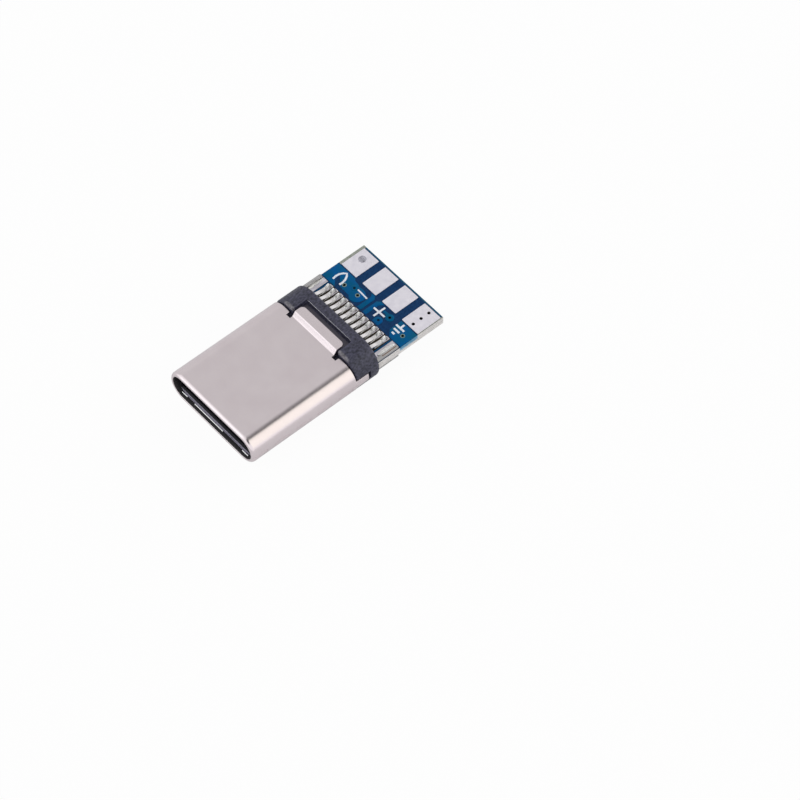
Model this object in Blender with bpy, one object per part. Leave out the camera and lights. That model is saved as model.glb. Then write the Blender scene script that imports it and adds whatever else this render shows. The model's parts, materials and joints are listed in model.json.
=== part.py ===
"""A reversible 24-contact plug on a small breakout board, with four wire pads.

The plug points along -Y, the wire pads face +Z, and X runs across the width.
Lengths along the plug are measured back from the mouth of the shell, and
heights in the contact rows are measured from the middle plane of the plug.
"""

import math

import bmesh
import bpy
from mathutils import Matrix, Vector

MM = 0.001

# Clearances between pieces that fit or sit together
fit_gap = 0.02 * MM
seat_gap = 0.01 * MM

# Steps in a half-turn of the outline, and how far cutters run past what they cut
arc_steps = 20
cutter_reach = 40.0 * MM

# Folded sheet shell, with its mouth drawn in
shell_width = 8.25 * MM
shell_height = 2.40 * MM
shell_length = 8.50 * MM
shell_wall = 0.28 * MM
rim_round = 0.22 * MM
rim_length = 0.26 * MM
lip_start = 0.03 * MM
lip_curl = 0.05 * MM
lip_length = 0.64 * MM
rim_steps = 8

# Tabs at the back of the shell, the upper and lower ones bent up out of its surface
tab_shoulder = 0.515 * MM
upper_tab_reach = 0.79 * MM
lower_tab_reach = 1.14 * MM
tab_corner = 0.30 * MM
tab_rise = 0.37 * MM
joggle_setback = 0.125 * MM
joggle_length = 0.285 * MM
joggle_ease = 0.18
joggle_steps = 8
notch_width = 0.38 * MM
notch_depth = 0.31 * MM
notch_round = 0.12 * MM
side_tab_height = 0.60 * MM
side_tab_reach = 1.00 * MM

# Moulded rear housing: its flange is a little narrower than the shell and stands above it
housing_gap = 0.10 * MM
housing_length = 1.90 * MM
flange_width = 8.10 * MM
flange_rise = 0.44 * MM
neck_length = 1.00 * MM
housing_edge = 0.15 * MM
edge_steps = 4
recess_margin = 0.17 * MM
recess_tail = 0.12 * MM
recess_relief = 0.05 * MM
slot_margin = 0.04 * MM
side_slot_tail = 0.25 * MM

# Rear pockets round the contact tails, and the shelf between them
rear_pocket_depth = 0.56 * MM
rear_pocket_wall = 0.20 * MM
rear_pocket_margin = 0.06 * MM
shelf_setback = 0.23 * MM

# Contact carriers inside the shell
carrier_front = 0.35 * MM
carrier_bar = 0.46 * MM
carrier_lead_in = 0.10 * MM
carrier_roof = 0.44 * MM
carrier_back_wall = 0.13 * MM
groove_front = 1.90 * MM
groove_clearance = 0.06 * MM

# Spring contacts, twelve in each row
contacts_per_row = 12
contact_row_margin = 1.375 * MM
contact_width = 0.26 * MM
contact_thickness = 0.12 * MM
contact_set_back = 0.10 * MM
contact_tip = 2.05 * MM
contact_bump = 2.80 * MM
contact_bump_reach = 0.15 * MM
spring_root_inset = 0.15 * MM
tail_straight = 0.25 * MM
tail_slope = 0.75 * MM
tail_flat = 0.28 * MM

# Latch plate between the carriers
latch_thickness = 0.20 * MM
latch_play = 0.125 * MM
latch_arm_width = 0.26 * MM
latch_arm_front = 1.95 * MM
latch_hook_reach = 0.24 * MM
latch_hook_length = 0.70 * MM
latch_web_length = 0.85 * MM
web_clearance = 0.20 * MM
arm_clearance = 0.04 * MM

# Forked legs of the latch plate, which grip the board
leg_width = 0.30 * MM
fork_depth = 0.55 * MM
fork_length = 2.27 * MM
fork_prong = 0.20 * MM
prong_width = 0.24 * MM
fork_edge_margin = 0.03 * MM

# Ground springs, hooked through a window behind the front bar of each carrier
spring_thickness = 0.08 * MM
spring_play = 0.03 * MM
spring_half_width = 2.40 * MM
spring_rear = 3.20 * MM
hook_gap = 0.04 * MM
hook_radius = 0.12 * MM
hook_steps = 4
finger_count = 4
finger_dip = 0.10 * MM
finger_bump = 1.40 * MM
finger_rear = 1.75 * MM
finger_gap = 0.30 * MM

# Circuit board and its copper
board_side_margin = 0.255 * MM
board_insertion = 0.45 * MM
board_length = 5.94 * MM
board_row_gap = 0.22 * MM
board_lift = 0.05 * MM
copper_thickness = 0.03 * MM
via_diameter = 0.22 * MM

# Wire pads on the top of the board
wire_pad_thickness = 0.04 * MM
wire_pad_length = 1.96 * MM
wire_pad_rear_margin = 0.17 * MM
outer_pad_extra = 0.27 * MM
pad_spacing = 0.62 * MM
pad_row_shift = 0.05 * MM
pad_edge_margin = 0.05 * MM
pad_corner = 0.05 * MM

# Solder pads beside the forks
ground_pad_clearance = 0.26 * MM
ground_pad_start = 0.22 * MM
ground_pad_tail = 0.08 * MM

# Plated hole in the corner of the first wire pad
corner_hole_from_side = 0.84 * MM
corner_hole_from_rear = 0.87 * MM
corner_hole_diameter = 0.40 * MM
corner_land_diameter = 1.00 * MM
corner_dish_diameter = 0.68 * MM

# Small parts under the board
chip_row_from_rear = 1.93 * MM
chip_pad_width = 0.66 * MM
chip_pad_length = 0.60 * MM
chip_pad_overhang = 0.07 * MM
chip_length = 1.00 * MM
chip_width = 0.50 * MM
chip_end_length = 0.22 * MM
chip_end_lip = 0.01 * MM
chip_end_round = 0.03 * MM
capacitor_x = -1.35 * MM
capacitor_height = 0.48 * MM
resistor_x = 0.85 * MM
resistor_height = 0.34 * MM
spare_pad_x = 2.40 * MM

# Holes right through the board: a row of three in the last wire pad, and four near the
# contacts, each given by its side, its distance from that side edge and from the rear edge
pad_via_count = 3
pad_via_from_side = 0.83 * MM
pad_via_inset = 0.31 * MM
pad_via_pitch = 0.665 * MM
board_vias = (
    (-1, 1.64 * MM, 3.09 * MM),
    (-1, 2.83 * MM, 2.99 * MM),
    (1, 2.21 * MM, 2.61 * MM),
    (1, 0.58 * MM, 2.94 * MM),
)

# Heights: the middle plane, the shell's inside, and each row above or below the middle
flange_height = shell_height + 2 * flange_rise
middle = flange_height / 2
shell_radius = shell_height / 2
half_straight = (shell_width - shell_height) / 2
inner_height = shell_radius - shell_wall
cavity_half_height = inner_height - carrier_roof
contact_bump_height = cavity_half_height - contact_bump_reach
contact_level = cavity_half_height + contact_set_back
groove_roof = contact_level + contact_thickness / 2 + groove_clearance
carrier_floor = latch_thickness / 2 + fit_gap
spring_level = inner_height - spring_play - spring_thickness / 2
board_thickness = 2 * (contact_level - contact_thickness / 2 - board_row_gap)
board_top = middle + board_lift + board_thickness / 2
board_bottom = board_top - board_thickness

# Places along the plug, from the mouth to the rear edge of the board
joggle_start = shell_length - joggle_setback
joggle_lag = shell_wall * math.tan(math.atan2(tab_rise, joggle_length) / 2)
joggle_end = joggle_start + joggle_length + joggle_lag
upper_tab_end = shell_length + upper_tab_reach
lower_tab_end = shell_length + lower_tab_reach
side_tab_end = shell_length + side_tab_reach
housing_front = shell_length + housing_gap
housing_rear = housing_front + housing_length
neck_front = housing_front - neck_length
shelf_rear = housing_rear - shelf_setback
carrier_rear = neck_front - fit_gap
latch_web_rear = carrier_rear - carrier_back_wall
latch_web_front = latch_web_rear - latch_web_length
cavity_rear = latch_web_front - web_clearance
spring_root = cavity_rear - spring_root_inset
window_front = carrier_front + carrier_bar
spring_front = window_front + hook_gap + spring_thickness / 2
window_rear = spring_front + spring_thickness / 2 + hook_gap
tail_bend = housing_rear + tail_straight
tail_foot = tail_bend + tail_slope
tail_end = tail_foot + tail_flat
fork_front = housing_rear - fork_depth
fork_rear = fork_front + fork_length
board_front = housing_rear - board_insertion
board_rear = board_front + board_length
wire_pad_rear = board_rear - wire_pad_rear_margin
wire_pad_front = wire_pad_rear - wire_pad_length
ground_pad_front = housing_rear + ground_pad_start
ground_pad_rear = fork_rear + ground_pad_tail
chip_row_y = board_rear - chip_row_from_rear
origin_y = board_rear / 2

# Places across the plug
board_width = shell_width - 2 * board_side_margin
tab_half_width = half_straight - notch_width - tab_shoulder
latch_arm_outer = shell_width / 2 - shell_wall - latch_play
latch_arm_inner = latch_arm_outer - latch_arm_width
cavity_half_width = latch_arm_inner - arm_clearance
fork_inner = latch_arm_outer - leg_width
fork_outer = board_width / 2 - fork_edge_margin
prong_inner = fork_outer - prong_width
contact_pitch = (shell_width - 2 * contact_row_margin) / (contacts_per_row - 1)
contact_x = [(i - (contacts_per_row - 1) / 2) * contact_pitch for i in range(contacts_per_row)]
ground_pad_inner = contact_x[-1] + contact_width / 2 + ground_pad_clearance
corner_hole = (corner_hole_from_side - board_width / 2, board_rear - corner_hole_from_rear)
chip_pad_pitch = chip_length + 2 * chip_pad_overhang
pad_row_width = board_width - 2 * pad_edge_margin
inner_pad_width = (pad_row_width - 3 * pad_spacing - 2 * outer_pad_extra) / 4


def material(name, colour, roughness, metallic):
    """Return a Principled material."""
    made = bpy.data.materials.new(name)
    made.use_nodes = True
    shader = made.node_tree.nodes["Principled BSDF"]
    shader.inputs["Base Color"].default_value = (*colour, 1.0)
    shader.inputs["Roughness"].default_value = roughness
    shader.inputs["Metallic"].default_value = metallic
    return made


def add_object(name, mesh, made_of=None):
    """Link a mesh to the scene under the given name, moved so that the origin is under its middle."""
    mesh.transform(Matrix.Translation((0.0, -origin_y, 0.0)))
    thing = bpy.data.objects.new(name, mesh)
    bpy.context.collection.objects.link(thing)
    if made_of:
        thing.data.materials.append(made_of)
    return thing


def mesh_from(name, bm):
    """Turn a bmesh into a mesh whose faces point outwards."""
    bmesh.ops.recalc_face_normals(bm, faces=bm.faces)
    mesh = bpy.data.meshes.new(name)
    bm.to_mesh(mesh)
    bm.free()
    return mesh


def shade(thing, angle=35.0):
    """Shade a piece smooth, with sharp edges kept."""
    thing.data.shade_smooth()
    thing.data.set_sharp_from_angle(angle=math.radians(angle))


def oval(y, half_width, half_height):
    """Return a ring of points: a flat-sided oval at one place along the plug."""
    ring = []
    for side, start in ((1, -90.0), (-1, 90.0)):
        for step in range(arc_steps + 1):
            angle = math.radians(start + 180.0 * step / arc_steps)
            x = side * (half_width - half_height) + half_height * math.cos(angle)
            ring.append(Vector((x, y, middle + half_height * math.sin(angle))))
    return ring


def stadium(y, inset):
    """Return the shell's outline at one place along it, drawn in by an inset."""
    return oval(y, shell_width / 2 - inset, shell_radius - inset)


def flange_ring(y, inset):
    """Return the outline of the housing's flange at one place along it, drawn in by an inset."""
    return oval(y, flange_width / 2 - inset, flange_height / 2 - inset)


def join_rings(bm, rings, closed):
    """Skin a row of rings, either back to the first one or with a flat cap at both ends."""
    loops = [[bm.verts.new(point) for point in ring] for ring in rings]
    pairs = list(zip(loops, loops[1:]))
    if closed:
        pairs.append((loops[-1], loops[0]))
    for first, second in pairs:
        for i in range(len(first)):
            j = (i + 1) % len(first)
            bm.faces.new((first[i], first[j], second[j], second[i]))
    if not closed:
        bm.faces.new(loops[0])
        bm.faces.new(loops[-1])


def add_prism(bm, outline, axis, low, high):
    """Add an outline of (u, v) points, extruded along one axis."""
    def place(u, v, w):
        if axis == "X":
            return Vector((w, u, v))
        return Vector((u, v, w))

    bottom = [bm.verts.new(place(u, v, low)) for u, v in outline]
    top = [bm.verts.new(place(u, v, high)) for u, v in outline]
    bm.faces.new(bottom)
    bm.faces.new(top)
    for i in range(len(outline)):
        j = (i + 1) % len(outline)
        bm.faces.new((bottom[i], bottom[j], top[j], top[i]))


def add_box(bm, x, y, z):
    """Add a box from its (low, high) ranges."""
    outline = [(x[0], y[0]), (x[1], y[0]), (x[1], y[1]), (x[0], y[1])]
    add_prism(bm, outline, "Z", z[0], z[1])


def box_ranges(side, low, high):
    """Return a height range above or below the middle plane as (low, high)."""
    ends = (middle + side * low, middle + side * high)
    return (min(ends), max(ends))


def corner_arc(centre, radius, start, end, steps=6):
    """Return points along an arc, angles in degrees."""
    points = []
    for step in range(steps + 1):
        angle = math.radians(start + (end - start) * step / steps)
        points.append((centre[0] + radius * math.cos(angle), centre[1] + radius * math.sin(angle)))
    return points


def rounded_rectangle(x, y, radius, steps=4):
    """Return a rectangle's outline with round corners."""
    points = []
    corners = ((x[1], y[0], -90), (x[1], y[1], 0), (x[0], y[1], 90), (x[0], y[0], 180))
    for corner_x, corner_y, start in corners:
        centre_x = corner_x - radius if corner_x == x[1] else corner_x + radius
        centre_y = corner_y - radius if corner_y == y[1] else corner_y + radius
        points += corner_arc((centre_x, centre_y), radius, start, start + 90, steps)
    return points


def sheet_outline(path, thickness):
    """Return the section of a bent strip: a path of (y, height) points given a thickness."""
    left = []
    right = []
    for i, point in enumerate(path):
        before = Vector(path[max(i - 1, 0)])
        after = Vector(path[min(i + 1, len(path) - 1)])
        here = Vector(point)
        into = (here - before).normalized() if i else (after - here).normalized()
        out = (after - here).normalized() if i < len(path) - 1 else into
        normal = Vector((-(into + out).y, (into + out).x)).normalized()
        reach = thickness / 2 / max(normal.dot(Vector((-into.y, into.x))), 0.5)
        left.append(here + normal * reach)
        right.append(here - normal * reach)
    return [tuple(point) for point in left + right[::-1]]


def cut(target, name, bm, operation="DIFFERENCE"):
    """Cut a shape out of a piece, or join it on. The shape stays in the file as a hidden guide."""
    guide = add_object(name, mesh_from(name, bm))
    guide.hide_render = True
    guide.display_type = "WIRE"
    modifier = target.modifiers.new(name, "BOOLEAN")
    modifier.operation = operation
    modifier.object = guide


def freeze(target):
    """Apply a piece's modifiers."""
    graph = bpy.context.evaluated_depsgraph_get()
    done = bpy.data.meshes.new_from_object(target.evaluated_get(graph))
    target.modifiers.clear()
    target.data = done


def tab_cutter(bm, half_width, reach, corner, low, high):
    """Add all that is cut away round one rear tab: both shoulders, both notches and the end."""
    end = shell_length + reach
    shoulder = shell_length
    notch = shoulder - notch_depth
    outer = half_width + notch_width
    left = [(-cutter_reach, shoulder)]
    left += corner_arc((-outer - notch_round, shoulder - notch_round), notch_round, 90, 0, 4)
    left += [(-outer, notch), (-half_width, notch)]
    left += corner_arc((-half_width + corner, end - corner), corner, 180, 90)
    outline = left + [(-x, y) for x, y in reversed(left)]
    outline += [(cutter_reach, cutter_reach), (-cutter_reach, cutter_reach)]
    add_prism(bm, outline, "Z", low, high)


def joggle(y):
    """Return how far a tab has risen at one place along it: a straight slope with eased ends."""
    share = min(max((y - joggle_start) / joggle_length, 0.0), 1.0)
    ease = joggle_ease
    if share < ease:
        return tab_rise * share * share / (2 * ease * (1 - ease))
    if share > 1 - ease:
        return tab_rise * (1 - (1 - share) ** 2 / (2 * ease * (1 - ease)))
    return tab_rise * (share - ease / 2) / (1 - ease)


def make_shell(metal):
    """One folded sheet: a flat tube with a drawn-in mouth and four tabs at the back."""
    tube_end = lower_tab_end + notch_depth
    profile = []
    for step in range(rim_steps + 1):
        angle = math.radians(90.0 * step / rim_steps)
        profile.append((rim_length * (1.0 - math.cos(angle)), rim_round * (1.0 - math.sin(angle))))
    stations = [joggle_start + joggle_length * step / joggle_steps for step in range(joggle_steps + 1)]
    profile += [(y, 0.0) for y in stations]
    profile.append((tube_end, 0.0))
    profile.append((tube_end, shell_wall))
    profile += [(y + joggle_lag, shell_wall) for y in reversed(stations)]
    for step in range(rim_steps + 1):
        share = step / rim_steps
        y = lip_length + (lip_start - lip_length) * share
        profile.append((y, shell_wall + lip_curl * math.sin(math.pi * share)))

    bm = bmesh.new()
    join_rings(bm, [stadium(y, inset) for y, inset in profile], closed=True)
    shell = add_object("shell", mesh_from("shell", bm), metal)

    band = side_tab_height / 2
    bm = bmesh.new()
    tab_cutter(bm, tab_half_width, upper_tab_reach, tab_corner, middle + band, cutter_reach)
    tab_cutter(bm, tab_half_width, lower_tab_reach, tab_corner, -cutter_reach, middle - band)
    cut(shell, "shell_tab_cutter", bm)

    bm = bmesh.new()
    wide = (-cutter_reach, cutter_reach)
    add_box(bm, wide, (side_tab_end, cutter_reach), (middle - band, middle + band))
    cut(shell, "shell_side_cutter", bm)
    freeze(shell)

    for vertex in shell.data.vertices:
        on_tab = abs(vertex.co.x) < tab_half_width + notch_width / 2
        height = vertex.co.z - middle
        inside = abs(height) < shell_radius - shell_wall / 2
        y = vertex.co.y + origin_y - (joggle_lag if inside else 0.0)
        if on_tab and y > joggle_start and abs(height) > inner_height / 2:
            vertex.co.z += math.copysign(joggle(y), height)
    shade(shell)
    return shell


def make_housing(plastic):
    """The moulded rear housing: a neck inside the shell, a raised flange and its pockets."""
    neck_inset = shell_wall + fit_gap
    rings = [
        stadium(neck_front, neck_inset + housing_edge / 2),
        stadium(neck_front + housing_edge / 2, neck_inset),
        stadium(housing_front, neck_inset),
        flange_ring(housing_front, housing_edge),
    ]
    for step in range(1, edge_steps + 1):
        angle = math.radians(90.0 * step / edge_steps)
        back = housing_edge * (1.0 - math.cos(angle))
        rings.append(flange_ring(housing_front + back, housing_edge * (1.0 - math.sin(angle))))
    for step in range(edge_steps + 1):
        angle = math.radians(90.0 * step / edge_steps)
        back = housing_edge * (1.0 - math.sin(angle))
        rings.append(flange_ring(housing_rear - back, housing_edge * (1.0 - math.cos(angle))))

    bm = bmesh.new()
    join_rings(bm, rings, closed=False)
    housing = add_object("rear_housing", mesh_from("rear_housing", bm), plastic)

    # Recesses that take the upper and lower tabs: their floors, then the deeper way in
    floor = inner_height + tab_rise - fit_gap
    half = tab_half_width + recess_margin
    start = shell_length - notch_depth - fit_gap
    end = lower_tab_end + recess_tail
    corner = recess_margin
    outline = [(-half, start)]
    outline += corner_arc((-half + corner, end - corner), corner, 180, 90)
    outline += corner_arc((half - corner, end - corner), corner, 90, 0)
    outline += [(half, start)]
    bm = bmesh.new()
    for side in (1, -1):
        low, high = box_ranges(side, floor, cutter_reach)
        add_prism(bm, outline, "Z", low, high)
    cut(housing, "housing_tab_recess", bm)

    bm = bmesh.new()
    for side in (1, -1):
        z = box_ranges(side, inner_height - recess_relief, cutter_reach)
        add_box(bm, (-half, half), (start, joggle_end + fit_gap), z)
    cut(housing, "housing_tab_way_in", bm)

    # Slots at the narrow sides for the small side tabs
    bm = bmesh.new()
    reach = side_tab_height / 2 + slot_margin
    slot_floor = shell_width / 2 - shell_wall - fit_gap
    for side in (1, -1):
        x = sorted((side * slot_floor, side * cutter_reach))
        y = (housing_front - fit_gap, side_tab_end + side_slot_tail)
        add_box(bm, x, y, (middle - reach, middle + reach))
    cut(housing, "housing_side_slots", bm)

    # Pockets at the back round the contact tails, with the shelf between them cut shorter
    half = contact_x[-1] + contact_width / 2 + rear_pocket_margin
    shelf = contact_level - contact_thickness / 2 - fit_gap
    roof = flange_height / 2 - rear_pocket_wall
    bm = bmesh.new()
    for side in (1, -1):
        y = (housing_rear - rear_pocket_depth, cutter_reach)
        add_box(bm, (-half, half), y, box_ranges(side, shelf, roof))
    cut(housing, "housing_rear_pockets", bm)
    bm = bmesh.new()
    add_box(bm, (-half, half), (shelf_rear, cutter_reach), (middle - roof, middle + roof))
    cut(housing, "housing_shelf_cutter", bm)

    # One hole for each contact
    bm = bmesh.new()
    half = contact_width / 2 + fit_gap
    grip = contact_thickness / 2 + fit_gap
    for side in (1, -1):
        z = box_ranges(side, contact_level - grip, contact_level + grip)
        for x in contact_x:
            add_box(bm, (x - half, x + half), (-cutter_reach, cutter_reach), z)
    cut(housing, "housing_contact_holes", bm)

    # Holes for the two legs of the latch plate
    bm = bmesh.new()
    grip = latch_thickness / 2 + fit_gap
    for side in (1, -1):
        x = sorted((side * (fork_inner - fit_gap), side * (latch_arm_outer + fit_gap)))
        add_box(bm, x, (-cutter_reach, cutter_reach), (middle - grip, middle + grip))
    cut(housing, "housing_leg_holes", bm)

    # Pocket at the back for the front edge of the board
    bm = bmesh.new()
    half = board_width / 2 + fit_gap
    y = (board_front - fit_gap, cutter_reach)
    add_box(bm, (-half, half), y, (board_bottom - fit_gap, board_top + fit_gap))
    cut(housing, "housing_board_pocket", bm)

    # Deeper pockets round the forks
    bm = bmesh.new()
    for side in (1, -1):
        x = sorted((side * ground_pad_inner, side * (fork_outer + fit_gap)))
        y = (fork_front - fit_gap, cutter_reach)
        z = (board_bottom - fork_prong - 2 * fit_gap, board_top + fork_prong + 2 * fit_gap)
        add_box(bm, x, y, z)
    cut(housing, "housing_fork_pockets", bm)
    shade(housing)
    return housing


def make_carrier(name, side, plastic):
    """Half of the insulator inside the shell, with a groove for each contact of its row."""
    inset = shell_wall + fit_gap
    sections = [(carrier_front, inset + lip_curl), (lip_length, inset), (carrier_rear, inset)]
    bm = bmesh.new()
    join_rings(bm, [stadium(y, section) for y, section in sections], closed=False)
    carrier = add_object(name, mesh_from(name, bm), plastic)

    # Everything on the other side of the latch plate goes, and so does the mating cavity
    wide = (-cutter_reach, cutter_reach)
    bm = bmesh.new()
    add_box(bm, wide, wide, box_ranges(side, -cutter_reach, carrier_floor))
    cut(carrier, name + "_half_cutter", bm)

    bm = bmesh.new()
    z = box_ranges(side, 0.0, cavity_half_height)
    add_box(bm, (-cavity_half_width, cavity_half_width), (-cutter_reach, cavity_rear), z)
    cut(carrier, name + "_cavity_cutter", bm)
    bm = bmesh.new()
    ahead = carrier_front - carrier_lead_in
    behind = carrier_front + 2 * carrier_lead_in
    high = middle + side * (cavity_half_height + 2 * carrier_lead_in)
    low = middle + side * (cavity_half_height - carrier_lead_in)
    wedge = [(ahead, high), (behind, low), (ahead, low)]
    add_prism(bm, wedge, "X", -cavity_half_width, cavity_half_width)
    cut(carrier, name + "_lead_in", bm)

    # Grooves in the roof of the cavity, running on as holes to the back
    bm = bmesh.new()
    half = contact_width / 2 + fit_gap
    grip = contact_thickness / 2 + fit_gap
    for x in contact_x:
        z = box_ranges(side, contact_level - grip, contact_level + grip)
        add_box(bm, (x - half, x + half), (cavity_rear - fit_gap, cutter_reach), z)
    cut(carrier, name + "_hole_cutter", bm)
    bm = bmesh.new()
    for x in contact_x:
        z = box_ranges(side, 0.0, groove_roof)
        add_box(bm, (x - half, x + half), (groove_front, cavity_rear), z)
    cut(carrier, name + "_groove_cutter", bm)

    # Shallow seat for the ground spring, and the window that its hook goes through
    bm = bmesh.new()
    half = spring_half_width + fit_gap
    z = box_ranges(side, spring_level - spring_thickness / 2 - fit_gap, cutter_reach)
    add_box(bm, (-half, half), (window_front, spring_rear + fit_gap), z)
    cut(carrier, name + "_spring_seat", bm)
    bm = bmesh.new()
    z = box_ranges(side, 0.0, cutter_reach)
    add_box(bm, (-half, half), (window_front, window_rear), z)
    cut(carrier, name + "_spring_window", bm)
    shade(carrier)
    return carrier


def contact_path(side):
    """Return the bent centre line of one contact, as (y, z) points from tip to foot."""
    board_face = board_top - middle if side > 0 else middle - board_bottom
    foot_level = board_face + copper_thickness + seat_gap + contact_thickness / 2
    points = []
    tip_steps = 4
    for step in range(tip_steps):
        share = 1.0 - step / tip_steps
        y = contact_bump - (contact_bump - contact_tip) * share
        points.append((y, contact_bump_height + contact_bump_reach * share * share))
    spring_steps = 7
    for step in range(spring_steps + 1):
        share = step / spring_steps
        y = contact_bump + (spring_root - contact_bump) * share
        rise = 0.5 - 0.5 * math.cos(math.pi * share)
        points.append((y, contact_bump_height + (contact_level - contact_bump_height) * rise))
    tail_steps = 6
    for step in range(tail_steps + 1):
        share = step / tail_steps
        drop = share * share * (3.0 - 2.0 * share)
        y = tail_bend + (tail_foot - tail_bend) * share
        points.append((y, contact_level + (foot_level - contact_level) * drop))
    points.append((tail_end, foot_level))
    return [(y, middle + side * height) for y, height in points]


def make_contacts(metal):
    """Two rows of twelve spring contacts, each one a single bent strip."""
    for row, side in (("upper", 1), ("lower", -1)):
        outline = sheet_outline(contact_path(side), contact_thickness)
        for number, x in enumerate(contact_x, start=1):
            name = f"contact_{row}_{number:02d}"
            bm = bmesh.new()
            add_prism(bm, outline, "X", x - contact_width / 2, x + contact_width / 2)
            shade(add_object(name, mesh_from(name, bm), metal))


def make_latch_plate(metal):
    """The plate between the carriers: a web, two sprung arms with hooks and two forked legs."""
    hook = latch_arm_inner - latch_hook_reach
    hook_rear = latch_arm_front + latch_hook_length
    ramp = latch_hook_length / 3
    right = [
        (latch_arm_inner, latch_web_front),
        (latch_arm_inner, hook_rear),
        (hook, hook_rear - ramp),
        (hook, latch_arm_front + ramp),
        (latch_arm_inner, latch_arm_front),
        (latch_arm_outer, latch_arm_front),
        (latch_arm_outer, fork_front + fork_prong),
        (fork_inner, fork_front + fork_prong),
        (fork_inner, latch_web_rear),
    ]
    outline = right + [(-x, y) for x, y in reversed(right)]
    bm = bmesh.new()
    half = latch_thickness / 2
    add_prism(bm, outline, "Z", middle - half, middle + half)
    plate = add_object("latch_plate", mesh_from("latch_plate", bm), metal)

    bm = bmesh.new()
    z = (board_bottom - fork_prong - seat_gap, board_top + fork_prong + seat_gap)
    for side in (1, -1):
        x = sorted((side * prong_inner, side * fork_outer))
        add_box(bm, x, (fork_front, fork_rear), z)
    cut(plate, "latch_fork_blocks", bm, "UNION")

    bm = bmesh.new()
    y = (board_front - seat_gap, cutter_reach)
    add_box(bm, (-cutter_reach, cutter_reach), y, (board_bottom - seat_gap, board_top + seat_gap))
    cut(plate, "latch_board_slot", bm)
    shade(plate)
    return plate


def make_ground_spring(name, side, metal):
    """A thin spring on one carrier, hooked through its window with four fingers inside."""
    inner = cavity_half_height - spring_thickness / 2 - fit_gap
    bend = spring_front + hook_radius
    path = [(spring_rear, spring_level)]
    path += corner_arc((bend, spring_level - hook_radius), hook_radius, 90, 180, hook_steps)
    path += corner_arc((bend, inner + hook_radius), hook_radius, 180, 270, hook_steps)
    path += [(finger_bump, inner - finger_dip), (finger_rear, inner)]
    path = [(y, middle + side * height) for y, height in path]
    bm = bmesh.new()
    outline = sheet_outline(path, spring_thickness)
    add_prism(bm, outline, "X", -spring_half_width, spring_half_width)
    spring = add_object(name, mesh_from(name, bm), metal)

    bm = bmesh.new()
    finger_pitch = 2 * spring_half_width / finger_count
    y = (-cutter_reach, cutter_reach)
    z = box_ranges(side, -cutter_reach, spring_level - spring_thickness / 2 - hook_radius)
    for gap in range(1, finger_count):
        x = -spring_half_width + gap * finger_pitch
        add_box(bm, (x - finger_gap / 2, x + finger_gap / 2), y, z)
    cut(spring, name + "_finger_gaps", bm)
    shade(spring)
    return spring


def pad_via_places():
    """Return the places of the holes through the last wire pad."""
    x = board_width / 2 - pad_via_from_side
    first = wire_pad_front + pad_via_inset
    return [(x, first + i * pad_via_pitch) for i in range(pad_via_count)]


def add_round_holes(bm, places, diameter, steps=16):
    """Add an upright round cutter at each place."""
    for place in places:
        circle = corner_arc(place, diameter / 2, 0, 360 - 360 / steps, steps - 1)
        add_prism(bm, circle, "Z", -cutter_reach, cutter_reach)


def make_board(substrate):
    """The circuit board with its drilled holes."""
    bm = bmesh.new()
    half = board_width / 2
    add_box(bm, (-half, half), (board_front, board_rear), (board_bottom, board_top))
    board = add_object("circuit_board", mesh_from("circuit_board", bm), substrate)
    bm = bmesh.new()
    vias = []
    for side, from_side, from_rear in board_vias:
        vias.append((side * (board_width / 2 - from_side), board_rear - from_rear))
    add_round_holes(bm, pad_via_places() + vias, via_diameter)
    add_round_holes(bm, [corner_hole], corner_hole_diameter + 2 * fit_gap, 24)
    cut(board, "board_holes", bm)
    shade(board)
    return board


def make_wire_pads(solder):
    """Four tinned wire pads in a row along the rear edge of the board."""
    outer = pad_row_width / 2
    minus_low = pad_row_shift - pad_spacing / 2 - inner_pad_width
    plus_low = pad_row_shift + pad_spacing / 2
    spans = {
        "wire_pad_supply": (-outer, minus_low - pad_spacing),
        "wire_pad_minus": (minus_low, minus_low + inner_pad_width),
        "wire_pad_plus": (plus_low, plus_low + inner_pad_width),
        "wire_pad_ground": (plus_low + inner_pad_width + pad_spacing, outer),
    }
    low = board_top + seat_gap
    high = low + wire_pad_thickness
    for name, x in spans.items():
        bm = bmesh.new()
        add_prism(bm, rounded_rectangle(x, (wire_pad_front, wire_pad_rear), pad_corner), "Z", low, high)
        pad = add_object(name, mesh_from(name, bm), solder)
        bm = bmesh.new()
        if name == "wire_pad_ground":
            add_round_holes(bm, pad_via_places(), via_diameter)
            cut(pad, name + "_holes", bm)
        elif name == "wire_pad_supply":
            wide = corner_hole_diameter + 2 * fit_gap
            add_round_holes(bm, [corner_hole], wide, 24)
            cut(pad, name + "_hole", bm)
        else:
            bm.free()


def make_ground_pads(solder):
    """Tinned strips beside the forks, on both faces of the board."""
    inner = ground_pad_inner
    outer = prong_inner - seat_gap
    faces = {"top": board_top + seat_gap, "bottom": board_bottom - seat_gap - copper_thickness}
    for face, low in faces.items():
        for hand, side in (("left", -1), ("right", 1)):
            name = f"ground_pad_{face}_{hand}"
            x = sorted((side * inner, side * outer))
            bm = bmesh.new()
            add_box(bm, x, (ground_pad_front, ground_pad_rear), (low, low + copper_thickness))
            add_object(name, mesh_from(name, bm), solder)


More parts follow.
